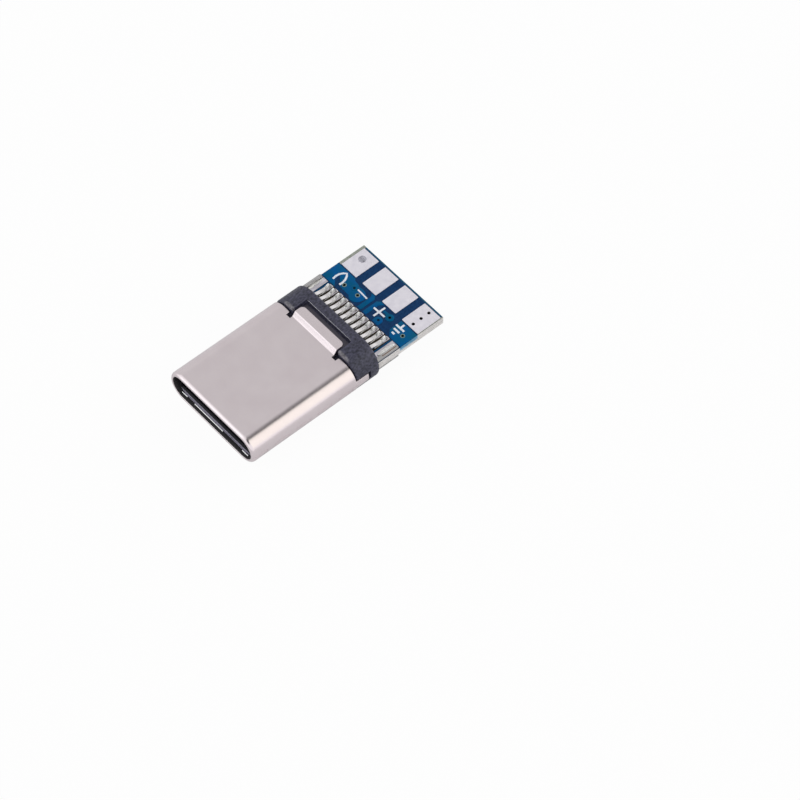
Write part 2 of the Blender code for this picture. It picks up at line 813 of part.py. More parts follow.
def make_corner_plug(solder):
    """The solder-filled hole in the corner: a stem through the board and a round land under it."""
    steps = 32
    top = board_top + seat_gap + wire_pad_thickness
    land_top = board_bottom - seat_gap
    land_bottom = land_top - copper_thickness
    stem = corner_hole_diameter / 2
    dish = corner_dish_diameter / 2
    land = corner_land_diameter / 2
    outline = [
        (stem, top),
        (stem, land_top),
        (land, land_top),
        (land, land_bottom),
        (dish, land_bottom),
        (dish - copper_thickness, land_bottom + copper_thickness / 2),
    ]
    rings = []
    for radius, z in outline:
        circle = corner_arc(corner_hole, radius, 0, 360 - 360 / steps, steps - 1)
        rings.append([Vector((x, y, z)) for x, y in circle])
    bm = bmesh.new()
    join_rings(bm, rings, closed=False)
    shade(add_object("corner_solder_plug", mesh_from("corner_solder_plug", bm), solder))


def make_chip(name, x, height, body_material, end_material):
    """A two-ended chip part under the board: its body and the metal cap on each end."""
    z_top = board_bottom - seat_gap - copper_thickness - seat_gap
    half_y = chip_width / 2
    body_half = chip_length / 2 - chip_end_length
    bm = bmesh.new()
    y = (chip_row_y - half_y, chip_row_y + half_y)
    z = (z_top - chip_end_lip - height, z_top - chip_end_lip)
    add_box(bm, (x - body_half + seat_gap, x + body_half - seat_gap), y, z)
    add_object(name + "_body", mesh_from(name + "_body", bm), body_material)
    for hand, side in (("left", -1), ("right", 1)):
        bm = bmesh.new()
        ends = sorted((x + side * body_half, x + side * chip_length / 2))
        y = (chip_row_y - half_y - chip_end_lip, chip_row_y + half_y + chip_end_lip)
        add_box(bm, ends, y, (z_top - 2 * chip_end_lip - height, z_top))
        end = add_object(f"{name}_end_{hand}", mesh_from(f"{name}_end_{hand}", bm), end_material)
        bevel = end.modifiers.new("rounded_edges", "BEVEL")
        bevel.width = chip_end_round
        bevel.segments = 2
        shade(end)


def make_chip_pads(solder):
    """The solder pads of both chips, and the spare one that carries nothing."""
    low = board_bottom - seat_gap - copper_thickness
    half_y = chip_pad_width / 2
    places = {
        "capacitor_pad_left": capacitor_x - chip_pad_pitch / 2,
        "capacitor_pad_right": capacitor_x + chip_pad_pitch / 2,
        "resistor_pad_left": resistor_x - chip_pad_pitch / 2,
        "resistor_pad_right": resistor_x + chip_pad_pitch / 2,
        "spare_pad": spare_pad_x,
    }
    for name, x in places.items():
        bm = bmesh.new()
        span = (x - chip_pad_length / 2, x + chip_pad_length / 2)
        add_box(bm, span, (chip_row_y - half_y, chip_row_y + half_y), (low, low + copper_thickness))
        add_object(name, mesh_from(name, bm), solder)


def build():
    """Build every piece of the plug."""
    for thing in list(bpy.data.objects):
        bpy.data.objects.remove(thing, do_unlink=True)

    steel = material("nickel_plated_steel", (0.62, 0.56, 0.56), 0.34, 1.0)
    black = material("black_nylon", (0.035, 0.035, 0.045), 0.6, 0.0)
    carrier_black = material("black_liquid_crystal_polymer", (0.02, 0.02, 0.022), 0.5, 0.0)
    gold = material("gold_plated_copper", (0.86, 0.72, 0.46), 0.25, 1.0)
    spring_steel = material("spring_steel", (0.62, 0.62, 0.62), 0.3, 1.0)
    board_blue = material("blue_board", (0.01, 0.10, 0.32), 0.4, 0.0)
    tin = material("tinned_copper", (0.75, 0.74, 0.76), 0.32, 1.0)
    ceramic = material("tan_ceramic", (0.52, 0.36, 0.20), 0.45, 0.0)
    resistor_black = material("black_resistor_coat", (0.02, 0.02, 0.02), 0.35, 0.0)

    make_shell(steel)
    make_housing(black)
    make_carrier("carrier_upper", 1, carrier_black)
    make_carrier("carrier_lower", -1, carrier_black)
    make_latch_plate(spring_steel)
    make_ground_spring("ground_spring_upper", 1, spring_steel)
    make_ground_spring("ground_spring_lower", -1, spring_steel)
    make_contacts(gold)
    make_board(board_blue)
    make_wire_pads(tin)
    make_ground_pads(tin)
    make_corner_plug(tin)
    make_chip_pads(tin)
    make_chip("capacitor", capacitor_x, capacitor_height, ceramic, tin)
    make_chip("resistor", resistor_x, resistor_height, resistor_black, tin)


build()
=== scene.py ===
# %% [markdown]
# # Dressing a small metal plug and its circuit board
#
# The frame holds the plain solids of the plug: its folded shell, the moulded housing, two rows
# of spring contacts and a small blue board. This lesson gives each of them the finish of the
# real thing and adds what is too fine for the solids: solder, printed ink, copper under the
# lacquer, plated holes and the seam of the folded sheet.

# %% The frame, the units and where the mouth is
import json
import math

import bmesh
import bpy
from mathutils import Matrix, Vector

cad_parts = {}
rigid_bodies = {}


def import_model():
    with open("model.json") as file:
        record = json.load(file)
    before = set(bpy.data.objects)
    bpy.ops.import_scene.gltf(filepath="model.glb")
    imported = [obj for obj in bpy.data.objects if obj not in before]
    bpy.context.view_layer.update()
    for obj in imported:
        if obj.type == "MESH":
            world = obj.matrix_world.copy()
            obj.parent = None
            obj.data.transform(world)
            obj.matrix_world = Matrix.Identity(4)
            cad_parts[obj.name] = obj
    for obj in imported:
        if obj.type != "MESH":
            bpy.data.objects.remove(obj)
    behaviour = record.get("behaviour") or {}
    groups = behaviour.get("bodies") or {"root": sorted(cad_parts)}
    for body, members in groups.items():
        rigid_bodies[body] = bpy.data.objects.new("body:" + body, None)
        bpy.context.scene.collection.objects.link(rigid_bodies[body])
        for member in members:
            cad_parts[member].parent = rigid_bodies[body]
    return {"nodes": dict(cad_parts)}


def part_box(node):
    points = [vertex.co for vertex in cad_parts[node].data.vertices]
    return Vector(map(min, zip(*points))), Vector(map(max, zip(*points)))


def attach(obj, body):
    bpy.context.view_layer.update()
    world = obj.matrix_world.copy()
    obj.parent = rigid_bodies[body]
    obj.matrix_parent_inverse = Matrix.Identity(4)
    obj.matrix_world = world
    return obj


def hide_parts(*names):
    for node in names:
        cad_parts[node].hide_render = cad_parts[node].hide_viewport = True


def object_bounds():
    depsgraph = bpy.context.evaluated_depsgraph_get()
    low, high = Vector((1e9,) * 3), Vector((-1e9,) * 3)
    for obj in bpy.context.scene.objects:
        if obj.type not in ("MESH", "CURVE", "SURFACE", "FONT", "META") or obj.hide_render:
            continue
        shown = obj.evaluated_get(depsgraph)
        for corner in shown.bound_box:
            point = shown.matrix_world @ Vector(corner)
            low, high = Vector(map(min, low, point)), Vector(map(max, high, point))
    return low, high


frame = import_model()
nodes = frame["nodes"]
cad_low, cad_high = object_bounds()

MM = 0.001
MOUTH = cad_low.y
PLUG_MIDDLE = (cad_low.z + cad_high.z) / 2 / MM
BOARD_BOTTOM, BOARD_TOP = (corner.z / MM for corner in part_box("circuit_board"))
print("solids:", len(nodes), "size in mm:", [round(v / MM, 2) for v in cad_high - cad_low])

# %% [markdown]
# All lengths below are in millimetres. Lengths along the plug are counted from its mouth, so
# one helper turns such a place into a point of the scene. The others look after the selection,
# because an operator acts on everything that is selected.

# %% Small helpers for places and selections


def place(x, y, z):
    """Return a point, given in mm with y counted from the mouth."""
    return Vector((x * MM, MOUTH + y * MM, z * MM))


def select_only(piece=None):
    """Leave edit mode and select one piece, or nothing."""
    if bpy.context.object and bpy.context.object.mode != "OBJECT":
        bpy.ops.object.mode_set(mode="OBJECT")
    bpy.ops.object.select_all(action="DESELECT")
    if piece is not None:
        piece.select_set(True)
        bpy.context.view_layer.objects.active = piece


def merge_close(limit_mm=0.0005):
    """Select everything in edit mode and merge the vertices that lie together."""
    bpy.ops.mesh.select_all(action="SELECT")
    bpy.ops.mesh.remove_doubles(threshold=limit_mm * MM)


def close_mesh():
    """Turn every face outwards and leave edit mode."""
    bpy.ops.mesh.select_all(action="SELECT")
    bpy.ops.mesh.normals_make_consistent(inside=False)
    bpy.ops.object.mode_set(mode="OBJECT")


# %% [markdown]
# ## Finishes
#
# A finish is a small network of nodes round one shader. The patterns read Object coordinates,
# so they stay on the piece when it moves. Each builder below starts from the same few lines.

# %% Helpers for node materials


looks = {}


def new_material(name):
    """Start a material, keep it by its name and return its node tree."""
    looks[name] = bpy.data.materials.new(name)
    looks[name].use_nodes = True
    print("finish:", name)
    return looks[name].node_tree


def feed(tree, socket, value):
    """Give a socket a number, a colour or the output of another node."""
    if isinstance(value, bpy.types.NodeSocket):
        tree.links.new(value, socket)
    elif isinstance(value, tuple):
        socket.default_value = (*value, 1.0)
    else:
        socket.default_value = value


def add_node(tree, kind, inputs):
    """Add a node and feed the inputs that are named or numbered."""
    node = tree.nodes.new("ShaderNode" + kind)
    for label, value in inputs.items():
        feed(tree, node.inputs[label], value)
    return node


def surface(tree, colour, roughness, metallic=0.0, shine=0.5):
    """Give the shader its colour, roughness, share of metal and strength of reflection."""
    inputs = tree.nodes["Principled BSDF"].inputs
    feed(tree, inputs["Base Color"], colour)
    feed(tree, inputs["Roughness"], roughness)
    feed(tree, inputs["Metallic"], metallic)
    feed(tree, inputs["Specular IOR Level"], shine)


def add_noise(tree, size_mm, detail=3.0, stretch=(1, 1, 1)):
    """Add a noise pattern whose blobs are about size_mm across, and return its output."""
    coordinates = tree.nodes.new("ShaderNodeTexCoord").outputs["Object"]
    scale = [1.0 / (size_mm * MM * s) for s in stretch]
    mapping = add_node(tree, "Mapping", {"Vector": coordinates, "Scale": scale})
    inputs = {"Vector": mapping.outputs["Vector"], "Scale": 1.0, "Detail": detail}
    return add_node(tree, "TexNoise", inputs).outputs["Fac"]


def spread(tree, source, low, high, start=0.3, end=0.7):
    """Turn the part of a pattern between start and end into a range of plain numbers."""
    limits = {"From Min": start, "From Max": end, "To Min": low, "To Max": high}
    return add_node(tree, "MapRange", {"Value": source, **limits}).outputs["Result"]


def blend_colours(tree, source, first, second, start=0.3, end=0.7):
    """Mix two colours by a pattern."""
    ramp = add_node(tree, "ValToRGB", {"Fac": source})
    ramp.color_ramp.elements[0].position = start
    ramp.color_ramp.elements[0].color = (*first, 1.0)
    ramp.color_ramp.elements[1].position = end
    ramp.color_ramp.elements[1].color = (*second, 1.0)
    return ramp.outputs["Color"]


def add_bump(tree, source, depth_mm, strength):
    """Let a pattern dent the surface by a depth in mm."""
    bump = add_node(tree, "Bump", {"Height": source, "Distance": depth_mm * MM, "Strength": strength})
    feed(tree, tree.nodes["Principled BSDF"].inputs["Normal"], bump.outputs["Normal"])


# %% [markdown]
# Some finishes change from place to place. A place is told by the three Object coordinates of a
# point, turned into millimetres. A share that goes from 0 to 1 at a limit picks out what lies
# beyond it, and shares multiplied together pick out a part of the piece.

# %% Helpers that pick out a part of a piece


def split(tree, vector):
    """Return the X, Y and Z outputs of a vector."""
    return add_node(tree, "SeparateXYZ", {"Vector": vector}).outputs


def object_axes(tree):
    """Return the place of a point in mm, with y counted from the mouth."""
    coordinates = tree.nodes.new("ShaderNodeTexCoord").outputs["Object"]
    in_mm = {"Location": [0.0, -MOUTH / MM, 0.0], "Scale": [1 / MM] * 3}
    return split(tree, add_node(tree, "Mapping", {"Vector": coordinates, **in_mm}).outputs["Vector"])


def calculate(tree, operation, *values):
    """Join one or two numbers by an operation."""
    node = add_node(tree, "Math", dict(enumerate(values)))
    node.operation = operation
    return node.outputs["Value"]


def mixed(tree, share, first, second):
    """Mix two colours, each a socket or plain numbers, by a share."""
    node = tree.nodes.new("ShaderNodeMix")
    node.data_type = "RGBA"
    for label, value in (("Factor", share), ("A", first), ("B", second)):
        feed(tree, node.inputs[label], value)
    return node.outputs["Result"]


def past(tree, coordinate, low, high):
    """Return a share that rises from 0 to 1 between two limits in mm."""
    return spread(tree, coordinate, 0.0, 1.0, low, high)


def before(tree, coordinate, low, high):
    """Return a share that falls from 1 to 0 between two limits in mm."""
    return spread(tree, coordinate, 1.0, 0.0, low, high)


def all_of(tree, *shares):
    """Multiply any number of shares."""
    result = shares[0]
    for share in shares[1:]:
        result = calculate(tree, "MULTIPLY", result, share)
    return result


def zone(tree, coordinate, low, high, fade):
    """Return 1 between two limits in mm and 0 outside them, with a soft change."""
    rise = past(tree, coordinate, low - fade, low)
    return all_of(tree, rise, before(tree, coordinate, high, high + fade))


# %% [markdown]
# The shell is steel with a nickel plating that has been tumbled, so it is satin rather than
# polished: a faint speckle, and soft clouds where the plating is a touch duller.

# %% Satin nickel for the shell


def make_satin_nickel():
    tree = new_material("satin_nickel")
    clouds = add_noise(tree, 1.6, 2.0)
    speckle = add_noise(tree, 0.05, 2.0)
    colour = blend_colours(tree, clouds, (0.825, 0.735, 0.762), (0.865, 0.780, 0.804))
    surface(tree, colour, spread(tree, speckle, 0.17, 0.27), metallic=1.0)
    add_bump(tree, speckle, 0.0006, 0.4)


make_satin_nickel()

# %% [markdown]
# The housing is nylon filled with glass fibre. It comes out of a spark-eroded mould, so its
# skin is matte and finely grained, and the fibres leave short paler flecks. The floor of its
# recess is painted a little paler, as painted light against the shade there, and its front
# rounding paler still, as a painted highlight.

# %% Grained nylon for the housing

FLECK_LIMITS = (0.33, 0.68)
# Painted light on the housing: a paler recess floor against its shade, and a painted highlight on the front
# rounding.
RECESS_FLOOR_Z = (2.90, 3.16)
RECESS_FLOOR_Y = (9.0, 9.66)
RECESS_HALF_WIDTH = 2.10
FRONT_HIGHLIGHT_Z = (3.02, 3.40)
FRONT_HIGHLIGHT_Y = (8.5, 8.70)
FRONT_HIGHLIGHT_X = (2.30, 2.95)
SOFT_EDGE = 0.04


def make_grained_nylon():
    """Matte nylon, with painted light on the recess floor and a painted highlight on the front rounding."""
    tree = new_material("grained_nylon")
    grain = add_noise(tree, 0.07, 4.0)
    flecks = add_noise(tree, 0.13, 4.0, (1, 1.5, 1))
    colour = blend_colours(tree, flecks, (0.008, 0.009, 0.022), (0.068, 0.067, 0.112), *FLECK_LIMITS)
    front_highlight_colour = blend_colours(tree, flecks, (0.070, 0.066, 0.080), (0.250, 0.240, 0.270), *FLECK_LIMITS)
    axes = object_axes(tree)
    sideways = calculate(tree, "ABSOLUTE", axes["X"])
    recess = all_of(
        tree,
        zone(tree, axes["Z"], *RECESS_FLOOR_Z, SOFT_EDGE),
        zone(tree, axes["Y"], *RECESS_FLOOR_Y, SOFT_EDGE),
        before(tree, sideways, RECESS_HALF_WIDTH, RECESS_HALF_WIDTH + SOFT_EDGE),
    )
    front = all_of(
        tree,
        zone(tree, axes["Z"], *FRONT_HIGHLIGHT_Z, 0.06),
        zone(tree, axes["Y"], *FRONT_HIGHLIGHT_Y, 0.10),
        zone(tree, sideways, *FRONT_HIGHLIGHT_X, 0.25),
    )
    # Painted light on the recess floor, then a painted highlight on the front rounding.
    colour = mixed(tree, recess, colour, (0.088, 0.080, 0.106))
    surface(tree, mixed(tree, front, colour, front_highlight_colour), spread(tree, grain, 0.38, 0.56))
    add_bump(tree, grain, 0.009, 0.7)


def make_carrier_black():
    """Black plastic, with painted light: paler where the lower moulding ends and faces the mouth."""
    tree = new_material("carrier_black")
    grain = add_noise(tree, 0.06)
    dark = blend_colours(tree, grain, (0.005, 0.005, 0.007), (0.014, 0.013, 0.017))
    pale = blend_colours(tree, grain, (0.20, 0.19, 0.24), (0.36, 0.34, 0.42))
    axes = object_axes(tree)
    # The pale end of the lower moulding, its lip included, is painted light.
    end = all_of(tree, before(tree, axes["Y"], 0.40, 0.46), before(tree, axes["Z"], 1.00, 1.06))
    surface(tree, mixed(tree, end, dark, pale), spread(tree, grain, 0.45, 0.6), shine=0.15)
    add_bump(tree, grain, 0.004, 0.6)


make_grained_nylon()
make_carrier_black()

# %% [markdown]
# Each contact is gold where it touches and tinned where it is soldered. The change from one
# to the other sits at a place along the plug. The solder on the contacts changes in the same
# way, and its beads are painted near white: a painted highlight where they face the light.

# %% Finishes of the contacts and their solder

GOLD_ENDS = (6.3, 6.6)
# Where the painted highlight on the beads starts.
BEAD_STARTS = (11.66, 11.84)
TOE_STARTS = (12.00, 12.05)
DULL_SOLDER = (0.50, 0.495, 0.49)


def make_contact_plating():
    tree = new_material("contact_plating")
    tinned = past(tree, object_axes(tree)["Y"], *GOLD_ENDS)
    colour = mixed(tree, tinned, (0.90, 0.66, 0.30), (0.86, 0.835, 0.84))
    streaks = add_noise(tree, 0.05, 3.0, (1, 6, 1))
    surface(tree, colour, spread(tree, streaks, 0.2, 0.36), metallic=1.0)
    add_bump(tree, streaks, 0.003, 0.6)


def make_drawn_solder():
    """Solder on the contacts: dull on the bars, painted near white on the beads as a painted highlight, dull
    again at the toes.
    """
    tree = new_material("drawn_solder")
    pattern = add_noise(tree, 0.13)
    bar = blend_colours(tree, pattern, DULL_SOLDER, (0.84, 0.835, 0.83))
    # The near-white bead colour is a painted highlight.
    bead = blend_colours(tree, pattern, (0.97, 0.97, 0.96), (1.0, 1.0, 1.0))
    y = object_axes(tree)["Y"]
    end = past(tree, y, *BEAD_STARTS)
    colour = mixed(tree, end, bar, bead)
    colour = mixed(tree, past(tree, y, *TOE_STARTS), colour, DULL_SOLDER)
    metallic = spread(tree, end, 0.70, 0.22, 0.0, 1.0)
    surface(tree, colour, spread(tree, pattern, 0.18, 0.34), metallic)
    add_bump(tree, pattern, 0.007, 0.6)


make_contact_plating()
make_drawn_solder()

# %% [markdown]
# The board is glass cloth in resin, under a coat of blue lacquer that lets metal show through.
# Over bare cloth the lacquer looks navy, and over copper it looks much lighter. Some places have
# no lacquer: between the contacts, where the bare cloth is olive near the housing and painted
# dark brown behind it as painted shade between the joints, and in narrow margins outside the
# two outer wire pads. The sawn edge shows the pale cloth, but for one stretch where the lacquer
# has run over. One material does it all: the direction of a face tells the edge from the faces,
# and the place tells the rest.

# %% Lacquer and glass cloth for the board

BARE_HALF_WIDTH = 2.96
BARE_REAR = 12.31
OLIVE_ENDS = (10.75, 10.90)
STRIP_OUTER = 3.12
MARGIN_X = -3.64
MARGIN_Y = 13.84
PAD_EDGE_X = 3.80
SAW_LINE_Y = 15.88
RUN_OVER_STARTS = (12.30, 12.34)
RUN_OVER_ENDS = (13.78, 13.86)


def board_faces(tree, axes, weave):
    """Return the colour of the two faces: lacquer, bare cloth with painted shade between the contacts,
    margins.
    """
    lacquer = blend_colours(tree, weave, (0.0017, 0.028, 0.098), (0.006, 0.045, 0.140))
    # Dark brown between the joints is painted shade on the bare cloth.
    shaded_cloth = blend_colours(tree, weave, (0.016, 0.011, 0.007), (0.075, 0.055, 0.032))
    olive = blend_colours(tree, weave, (0.040, 0.045, 0.008), (0.120, 0.125, 0.030))
    margin = blend_colours(tree, weave, (0.26, 0.28, 0.24), (0.40, 0.42, 0.38))
    sideways = calculate(tree, "ABSOLUTE", axes["X"])
    ahead = before(tree, axes["Y"], BARE_REAR, BARE_REAR + 0.02)
    bare = all_of(tree, ahead, before(tree, sideways, BARE_HALF_WIDTH, BARE_HALF_WIDTH + 0.02))
    strip = all_of(tree, ahead, zone(tree, sideways, BARE_HALF_WIDTH + 0.02, STRIP_OUTER, 0.01))
    sawn_rear = past(tree, axes["Y"], SAW_LINE_Y, SAW_LINE_Y + 0.03)
    left = before(tree, axes["X"], MARGIN_X, MARGIN_X + 0.01)
    right = past(tree, axes["X"], PAD_EDGE_X - 0.01, PAD_EDGE_X)
    stripped = all_of(
        tree,
        calculate(tree, "MAXIMUM", left, right),
        past(tree, axes["Y"], MARGIN_Y, MARGIN_Y + 0.02),
        past(tree, axes["Z"], BOARD_TOP - 0.02, BOARD_TOP - 0.01),
    )
    bare_and_shaded_cloth = mixed(tree, before(tree, axes["Y"], *OLIVE_ENDS), shaded_cloth, olive)
    faces = mixed(tree, bare, lacquer, bare_and_shaded_cloth)
    faces = mixed(tree, strip, faces, (0.002, 0.062, 0.160))
    faces = mixed(tree, sawn_rear, faces, (0.012, 0.095, 0.170))
    return mixed(tree, stripped, faces, margin)


def board_edge(tree, axes, weave):
    """Return the colour of the sawn edge: pale cloth, with lacquer run over part of it."""
    fibres = add_noise(tree, 0.05, 3.0, (8, 8, 0.8))
    cloth = blend_colours(tree, fibres, (0.56, 0.54, 0.53), (0.82, 0.79, 0.79))
    tinted = blend_colours(tree, fibres, (0.050, 0.200, 0.350), (0.240, 0.440, 0.600))
    wavy_height = calculate(tree, "ADD", axes["Z"], calculate(tree, "MULTIPLY", weave, 0.16))
    run_over = all_of(
        tree,
        past(tree, axes["Y"], *RUN_OVER_STARTS),
        before(tree, axes["Y"], *RUN_OVER_ENDS),
        past(tree, wavy_height, BOARD_TOP - 0.34, BOARD_TOP - 0.14),
    )
    return mixed(tree, run_over, cloth, tinted)


def make_board_finish():
    tree = new_material("navy_lacquer_board")
    weave = add_noise(tree, 0.12, 2.0)
    axes = object_axes(tree)
    geometry = tree.nodes.new("ShaderNodeNewGeometry")
    upright = calculate(tree, "ABSOLUTE", split(tree, geometry.outputs["True Normal"])["Z"])
    colour = mixed(tree, upright, board_edge(tree, axes, weave), board_faces(tree, axes, weave))
    surface(tree, colour, spread(tree, upright, 0.75, 0.34, 0.0, 1.0), shine=0.12)
    add_bump(tree, weave, 0.004, 0.5)


def make_lacquer_over_copper():
    tree = new_material("blue_lacquer_over_copper")
    colour = blend_colours(tree, add_noise(tree, 0.9), (0.0, 0.100, 0.190), (0.0, 0.094, 0.310))
    surface(tree, colour, 0.32, shine=0.07)
    add_bump(tree, add_noise(tree, 0.15, 2.0), 0.003, 0.6)


make_board_finish()
make_lacquer_over_copper()

# %% [markdown]
# The other finishes are even: metals, ink, ceramic and glaze for the two chips, near-black
# painted shade for the hole barrels, the dimples and the shell's inside, the greenish copper
# round a hole, dried flux, and near-white painted highlights for the spring edge and the edge
# of the moulding. One builder makes them from a table. A row gives two colours, the range of
# roughness, the size and depth of the pattern in mm and, where they matter, the share of metal,
# the stretch of the pattern and the strength of reflection.

# %% Even finishes

SQUARE = (1, 1, 1)
EVEN_FINISHES = {
    "spring_steel": ((0.44, 0.43, 0.43), (0.60, 0.59, 0.59), (0.26, 0.40), 0.07, 0.003, 1.0, (1, 5, 1)),
    "levelled_tin": ((0.90, 0.87, 0.955), (0.955, 0.925, 0.99), (0.38, 0.50), 0.35, 0.005, 1.0),
    "rolled_tin": ((0.56, 0.53, 0.58), (0.82, 0.79, 0.86), (0.30, 0.46), 0.16, 0.010, 1.0, (1, 4, 1)),
    "bright_solder": ((0.80, 0.785, 0.775), (0.97, 0.965, 0.96), (0.14, 0.32), 0.14, 0.012, 0.62),
    "dull_tin": ((0.34, 0.33, 0.38), (0.56, 0.55, 0.62), (0.22, 0.36), 0.10, 0.006, 1.0),
    # Near-white metal for the spring edge: a painted highlight.
    "spring_glint": ((0.92, 0.91, 0.90), (0.98, 0.98, 0.98), (0.12, 0.20), 0.20, 0.001, 1.0),
    "white_ink": ((0.74, 0.78, 0.88), (0.88, 0.90, 0.96), (0.5, 0.65), 0.05, 0.004),
    "tan_ceramic": ((0.44, 0.27, 0.11), (0.58, 0.39, 0.19), (0.35, 0.5), 0.07, 0.003),
    "resistor_glaze": ((0.012, 0.010, 0.010), (0.035, 0.028, 0.026), (0.2, 0.4), 0.08, 0.004),
    # Near-black painted shade for the hole barrels.
    "dark_hole": ((0.003, 0.003, 0.004), (0.010, 0.010, 0.012), (0.5, 0.7), 0.05, 0.002),
    # Near-black painted shade for the dimples of closed holes.
    "dark_lacquer": ((0.001, 0.01, 0.022), (0.004, 0.024, 0.05), (0.4, 0.6), 0.05, 0.002, 0.0, SQUARE, 0.05),
    "hole_ring": ((0.11, 0.20, 0.20), (0.29, 0.37, 0.34), (0.35, 0.5), 0.08, 0.003, 0.0, SQUARE, 0.2),
    "flux_brown": ((0.10, 0.045, 0.020), (0.30, 0.18, 0.11), (0.25, 0.4), 0.10, 0.004),
    # Near-black painted shade for the shell's inside.
    "dull_inside": ((0.006, 0.005, 0.006), (0.020, 0.018, 0.021), (0.45, 0.6), 0.08, 0.002),
    # Near-white nylon: a painted highlight on the recess edge.
    "worn_nylon": ((0.50, 0.50, 0.54), (0.94, 0.94, 0.97), (0.18, 0.30), 0.12, 0.002),
}


def make_even(name, first, second, gloss, blob_mm, depth_mm, metallic=0.0, stretch=SQUARE, shine=0.5):
    """A finish whose colour and roughness drift with one noise pattern."""
    tree = new_material(name)
    pattern = add_noise(tree, blob_mm, 3.0, stretch)
    colour = blend_colours(tree, pattern, first, second)
    surface(tree, colour, spread(tree, pattern, *gloss), metallic, shine)
    add_bump(tree, pattern, depth_mm, 0.8 if metallic else 0.6)


for name, row in EVEN_FINISHES.items():
    make_even(name, *row)

# %% [markdown]
# ## Painting the solids
#
# Every solid that stays as it is gets its finish here. The shell and the housing get theirs
# again below, on copies with softened edges.

# %% A finish for every solid

FINISHES = {
    "shell": "satin_nickel",
    "rear_housing": "grained_nylon",
    "carrier": "carrier_black",
    "contact": "contact_plating",
    "latch": "spring_steel",
    "ground_spring": "spring_steel",
    "ground_pad": "rolled_tin",
    "corner_solder_plug": "dull_tin",
    "circuit_board": "navy_lacquer_board",
    "capacitor_body": "tan_ceramic",
    "resistor_body": "resistor_glaze",
    "wire_pad": "levelled_tin",
    "": "bright_solder",
}


def paint(piece, finish):
    """Give a piece one finish all over."""
    piece.data.materials.clear()
    piece.data.materials.append(looks[finish])
    for polygon in piece.data.polygons:
        polygon.material_index = 0


for name, node in nodes.items():
    start = next(start for start in FINISHES if name.startswith(start))
    paint(node, FINISHES[start])
print("painted", len(nodes), "solids")

# %% [markdown]
# ## Ways of modelling
#
# A few ways cover all the fine pieces. A flat plate is traced: one vertex is extruded along its
# outline, the outline is filled, the face is extruded upwards and its edges are bevelled. What
# is round about an axis, such as a plated hole, is turned: half its section is traced and spun.
# A printed line is drawn as a path, turned into a curve with a round section and then pressed
# flat. A solder joint is either a box that is inset, raised and subdivided, or a section that
# is extruded from stop to stop.

# %% Tracing an outline with one vertex


def begin_trace(name, first):
    """Make a mesh of a single vertex at a place, in edit mode."""
    select_only()
    bpy.ops.mesh.primitive_plane_add(size=MM, location=(0, 0, 0))
    piece = bpy.context.object
    piece.name = name
    piece.data.name = name
    bpy.ops.object.mode_set(mode="EDIT")
    bpy.ops.mesh.select_mode(type="VERT")
    bpy.ops.mesh.select_all(action="SELECT")
    bpy.ops.mesh.merge(type="CENTER")
    bpy.ops.transform.translate(value=first)
    return piece


def trace(points):
    """Extrude the selected vertex from the first point to each of the others."""
    for here, there in zip(points, points[1:]):
        bpy.ops.mesh.extrude_vertices_move(TRANSFORM_OT_translate={"value": there - here})


def traced_face(name, points):
    """Trace a closed outline and fill it, and stay in edit mode."""
    piece = begin_trace(name, points[0])
    trace(points)
    bpy.ops.mesh.select_all(action="SELECT")
    bpy.ops.mesh.edge_face_add()
    return piece


def traced_block(name, points, shift):
    """Extrude a traced outline into a closed block."""
    piece = traced_face(name, points)
    bpy.ops.mesh.extrude_region_move(TRANSFORM_OT_translate={"value": shift})
    close_mesh()
    return piece


# %% [markdown]
# Modifiers do the bevels and the cuts. They are applied at once, so that each piece is handed
# over as a plain mesh. A cutter is removed when its cut has been made.

# %% Bevels, cuts and traced plates


def apply_all(piece):
    """Apply every modifier of a piece, first to last."""
    bpy.context.view_layer.objects.active = piece
    for modifier in list(piece.modifiers):
        bpy.ops.object.modifier_apply(modifier=modifier.name)


def soften(piece, width_mm, angle=35.0):
    """Bevel the sharp edges of a piece and shade it smooth."""
    select_only(piece)
    bevel = piece.modifiers.new("softened_edges", "BEVEL")
    bevel.width = width_mm * MM
    bevel.segments = 2
    bevel.limit_method = "ANGLE"
    bevel.angle_limit = math.radians(angle)
    apply_all(piece)
    bpy.ops.object.shade_smooth_by_angle(angle=math.radians(40))
    steady = piece.modifiers.new("steady_shading", "WEIGHTED_NORMAL")
    steady.keep_sharp = True
    steady.weight = 90
    apply_all(piece)


def cut_away(piece, cutter):
    """Cut one piece out of another and remove the cutter."""
    cut = piece.modifiers.new("cut", "BOOLEAN")
    cut.operation = "DIFFERENCE"
    cut.object = cutter
    cut.solver = "EXACT"
    apply_all(piece)
    bpy.data.objects.remove(cutter, do_unlink=True)


def traced_plate(name, outline, bottom, top, rounding):
    """A flat plate with a given outline in mm, between two heights."""
    points = [place(x, y, bottom) for x, y in outline]
    piece = traced_block(name, points, (0, 0, (top - bottom) * MM))
    soften(piece, rounding)
    return piece


# %% [markdown]
# Rows are made from one piece and its copies, joined. A finished piece is handed over: it gets
# its finish, it is tied to the plug's one body, and the solids it stands for are hidden.

# %% Joining, copying and handing over


def joined(name, pieces):
    """Join pieces into one and give it a name."""
    select_only(pieces[0])
    for piece in pieces:
        piece.select_set(True)
    if len(pieces) > 1:
        bpy.ops.object.join()
    result = bpy.context.view_layer.objects.active
    result.name = name
    result.data.name = name
    return result


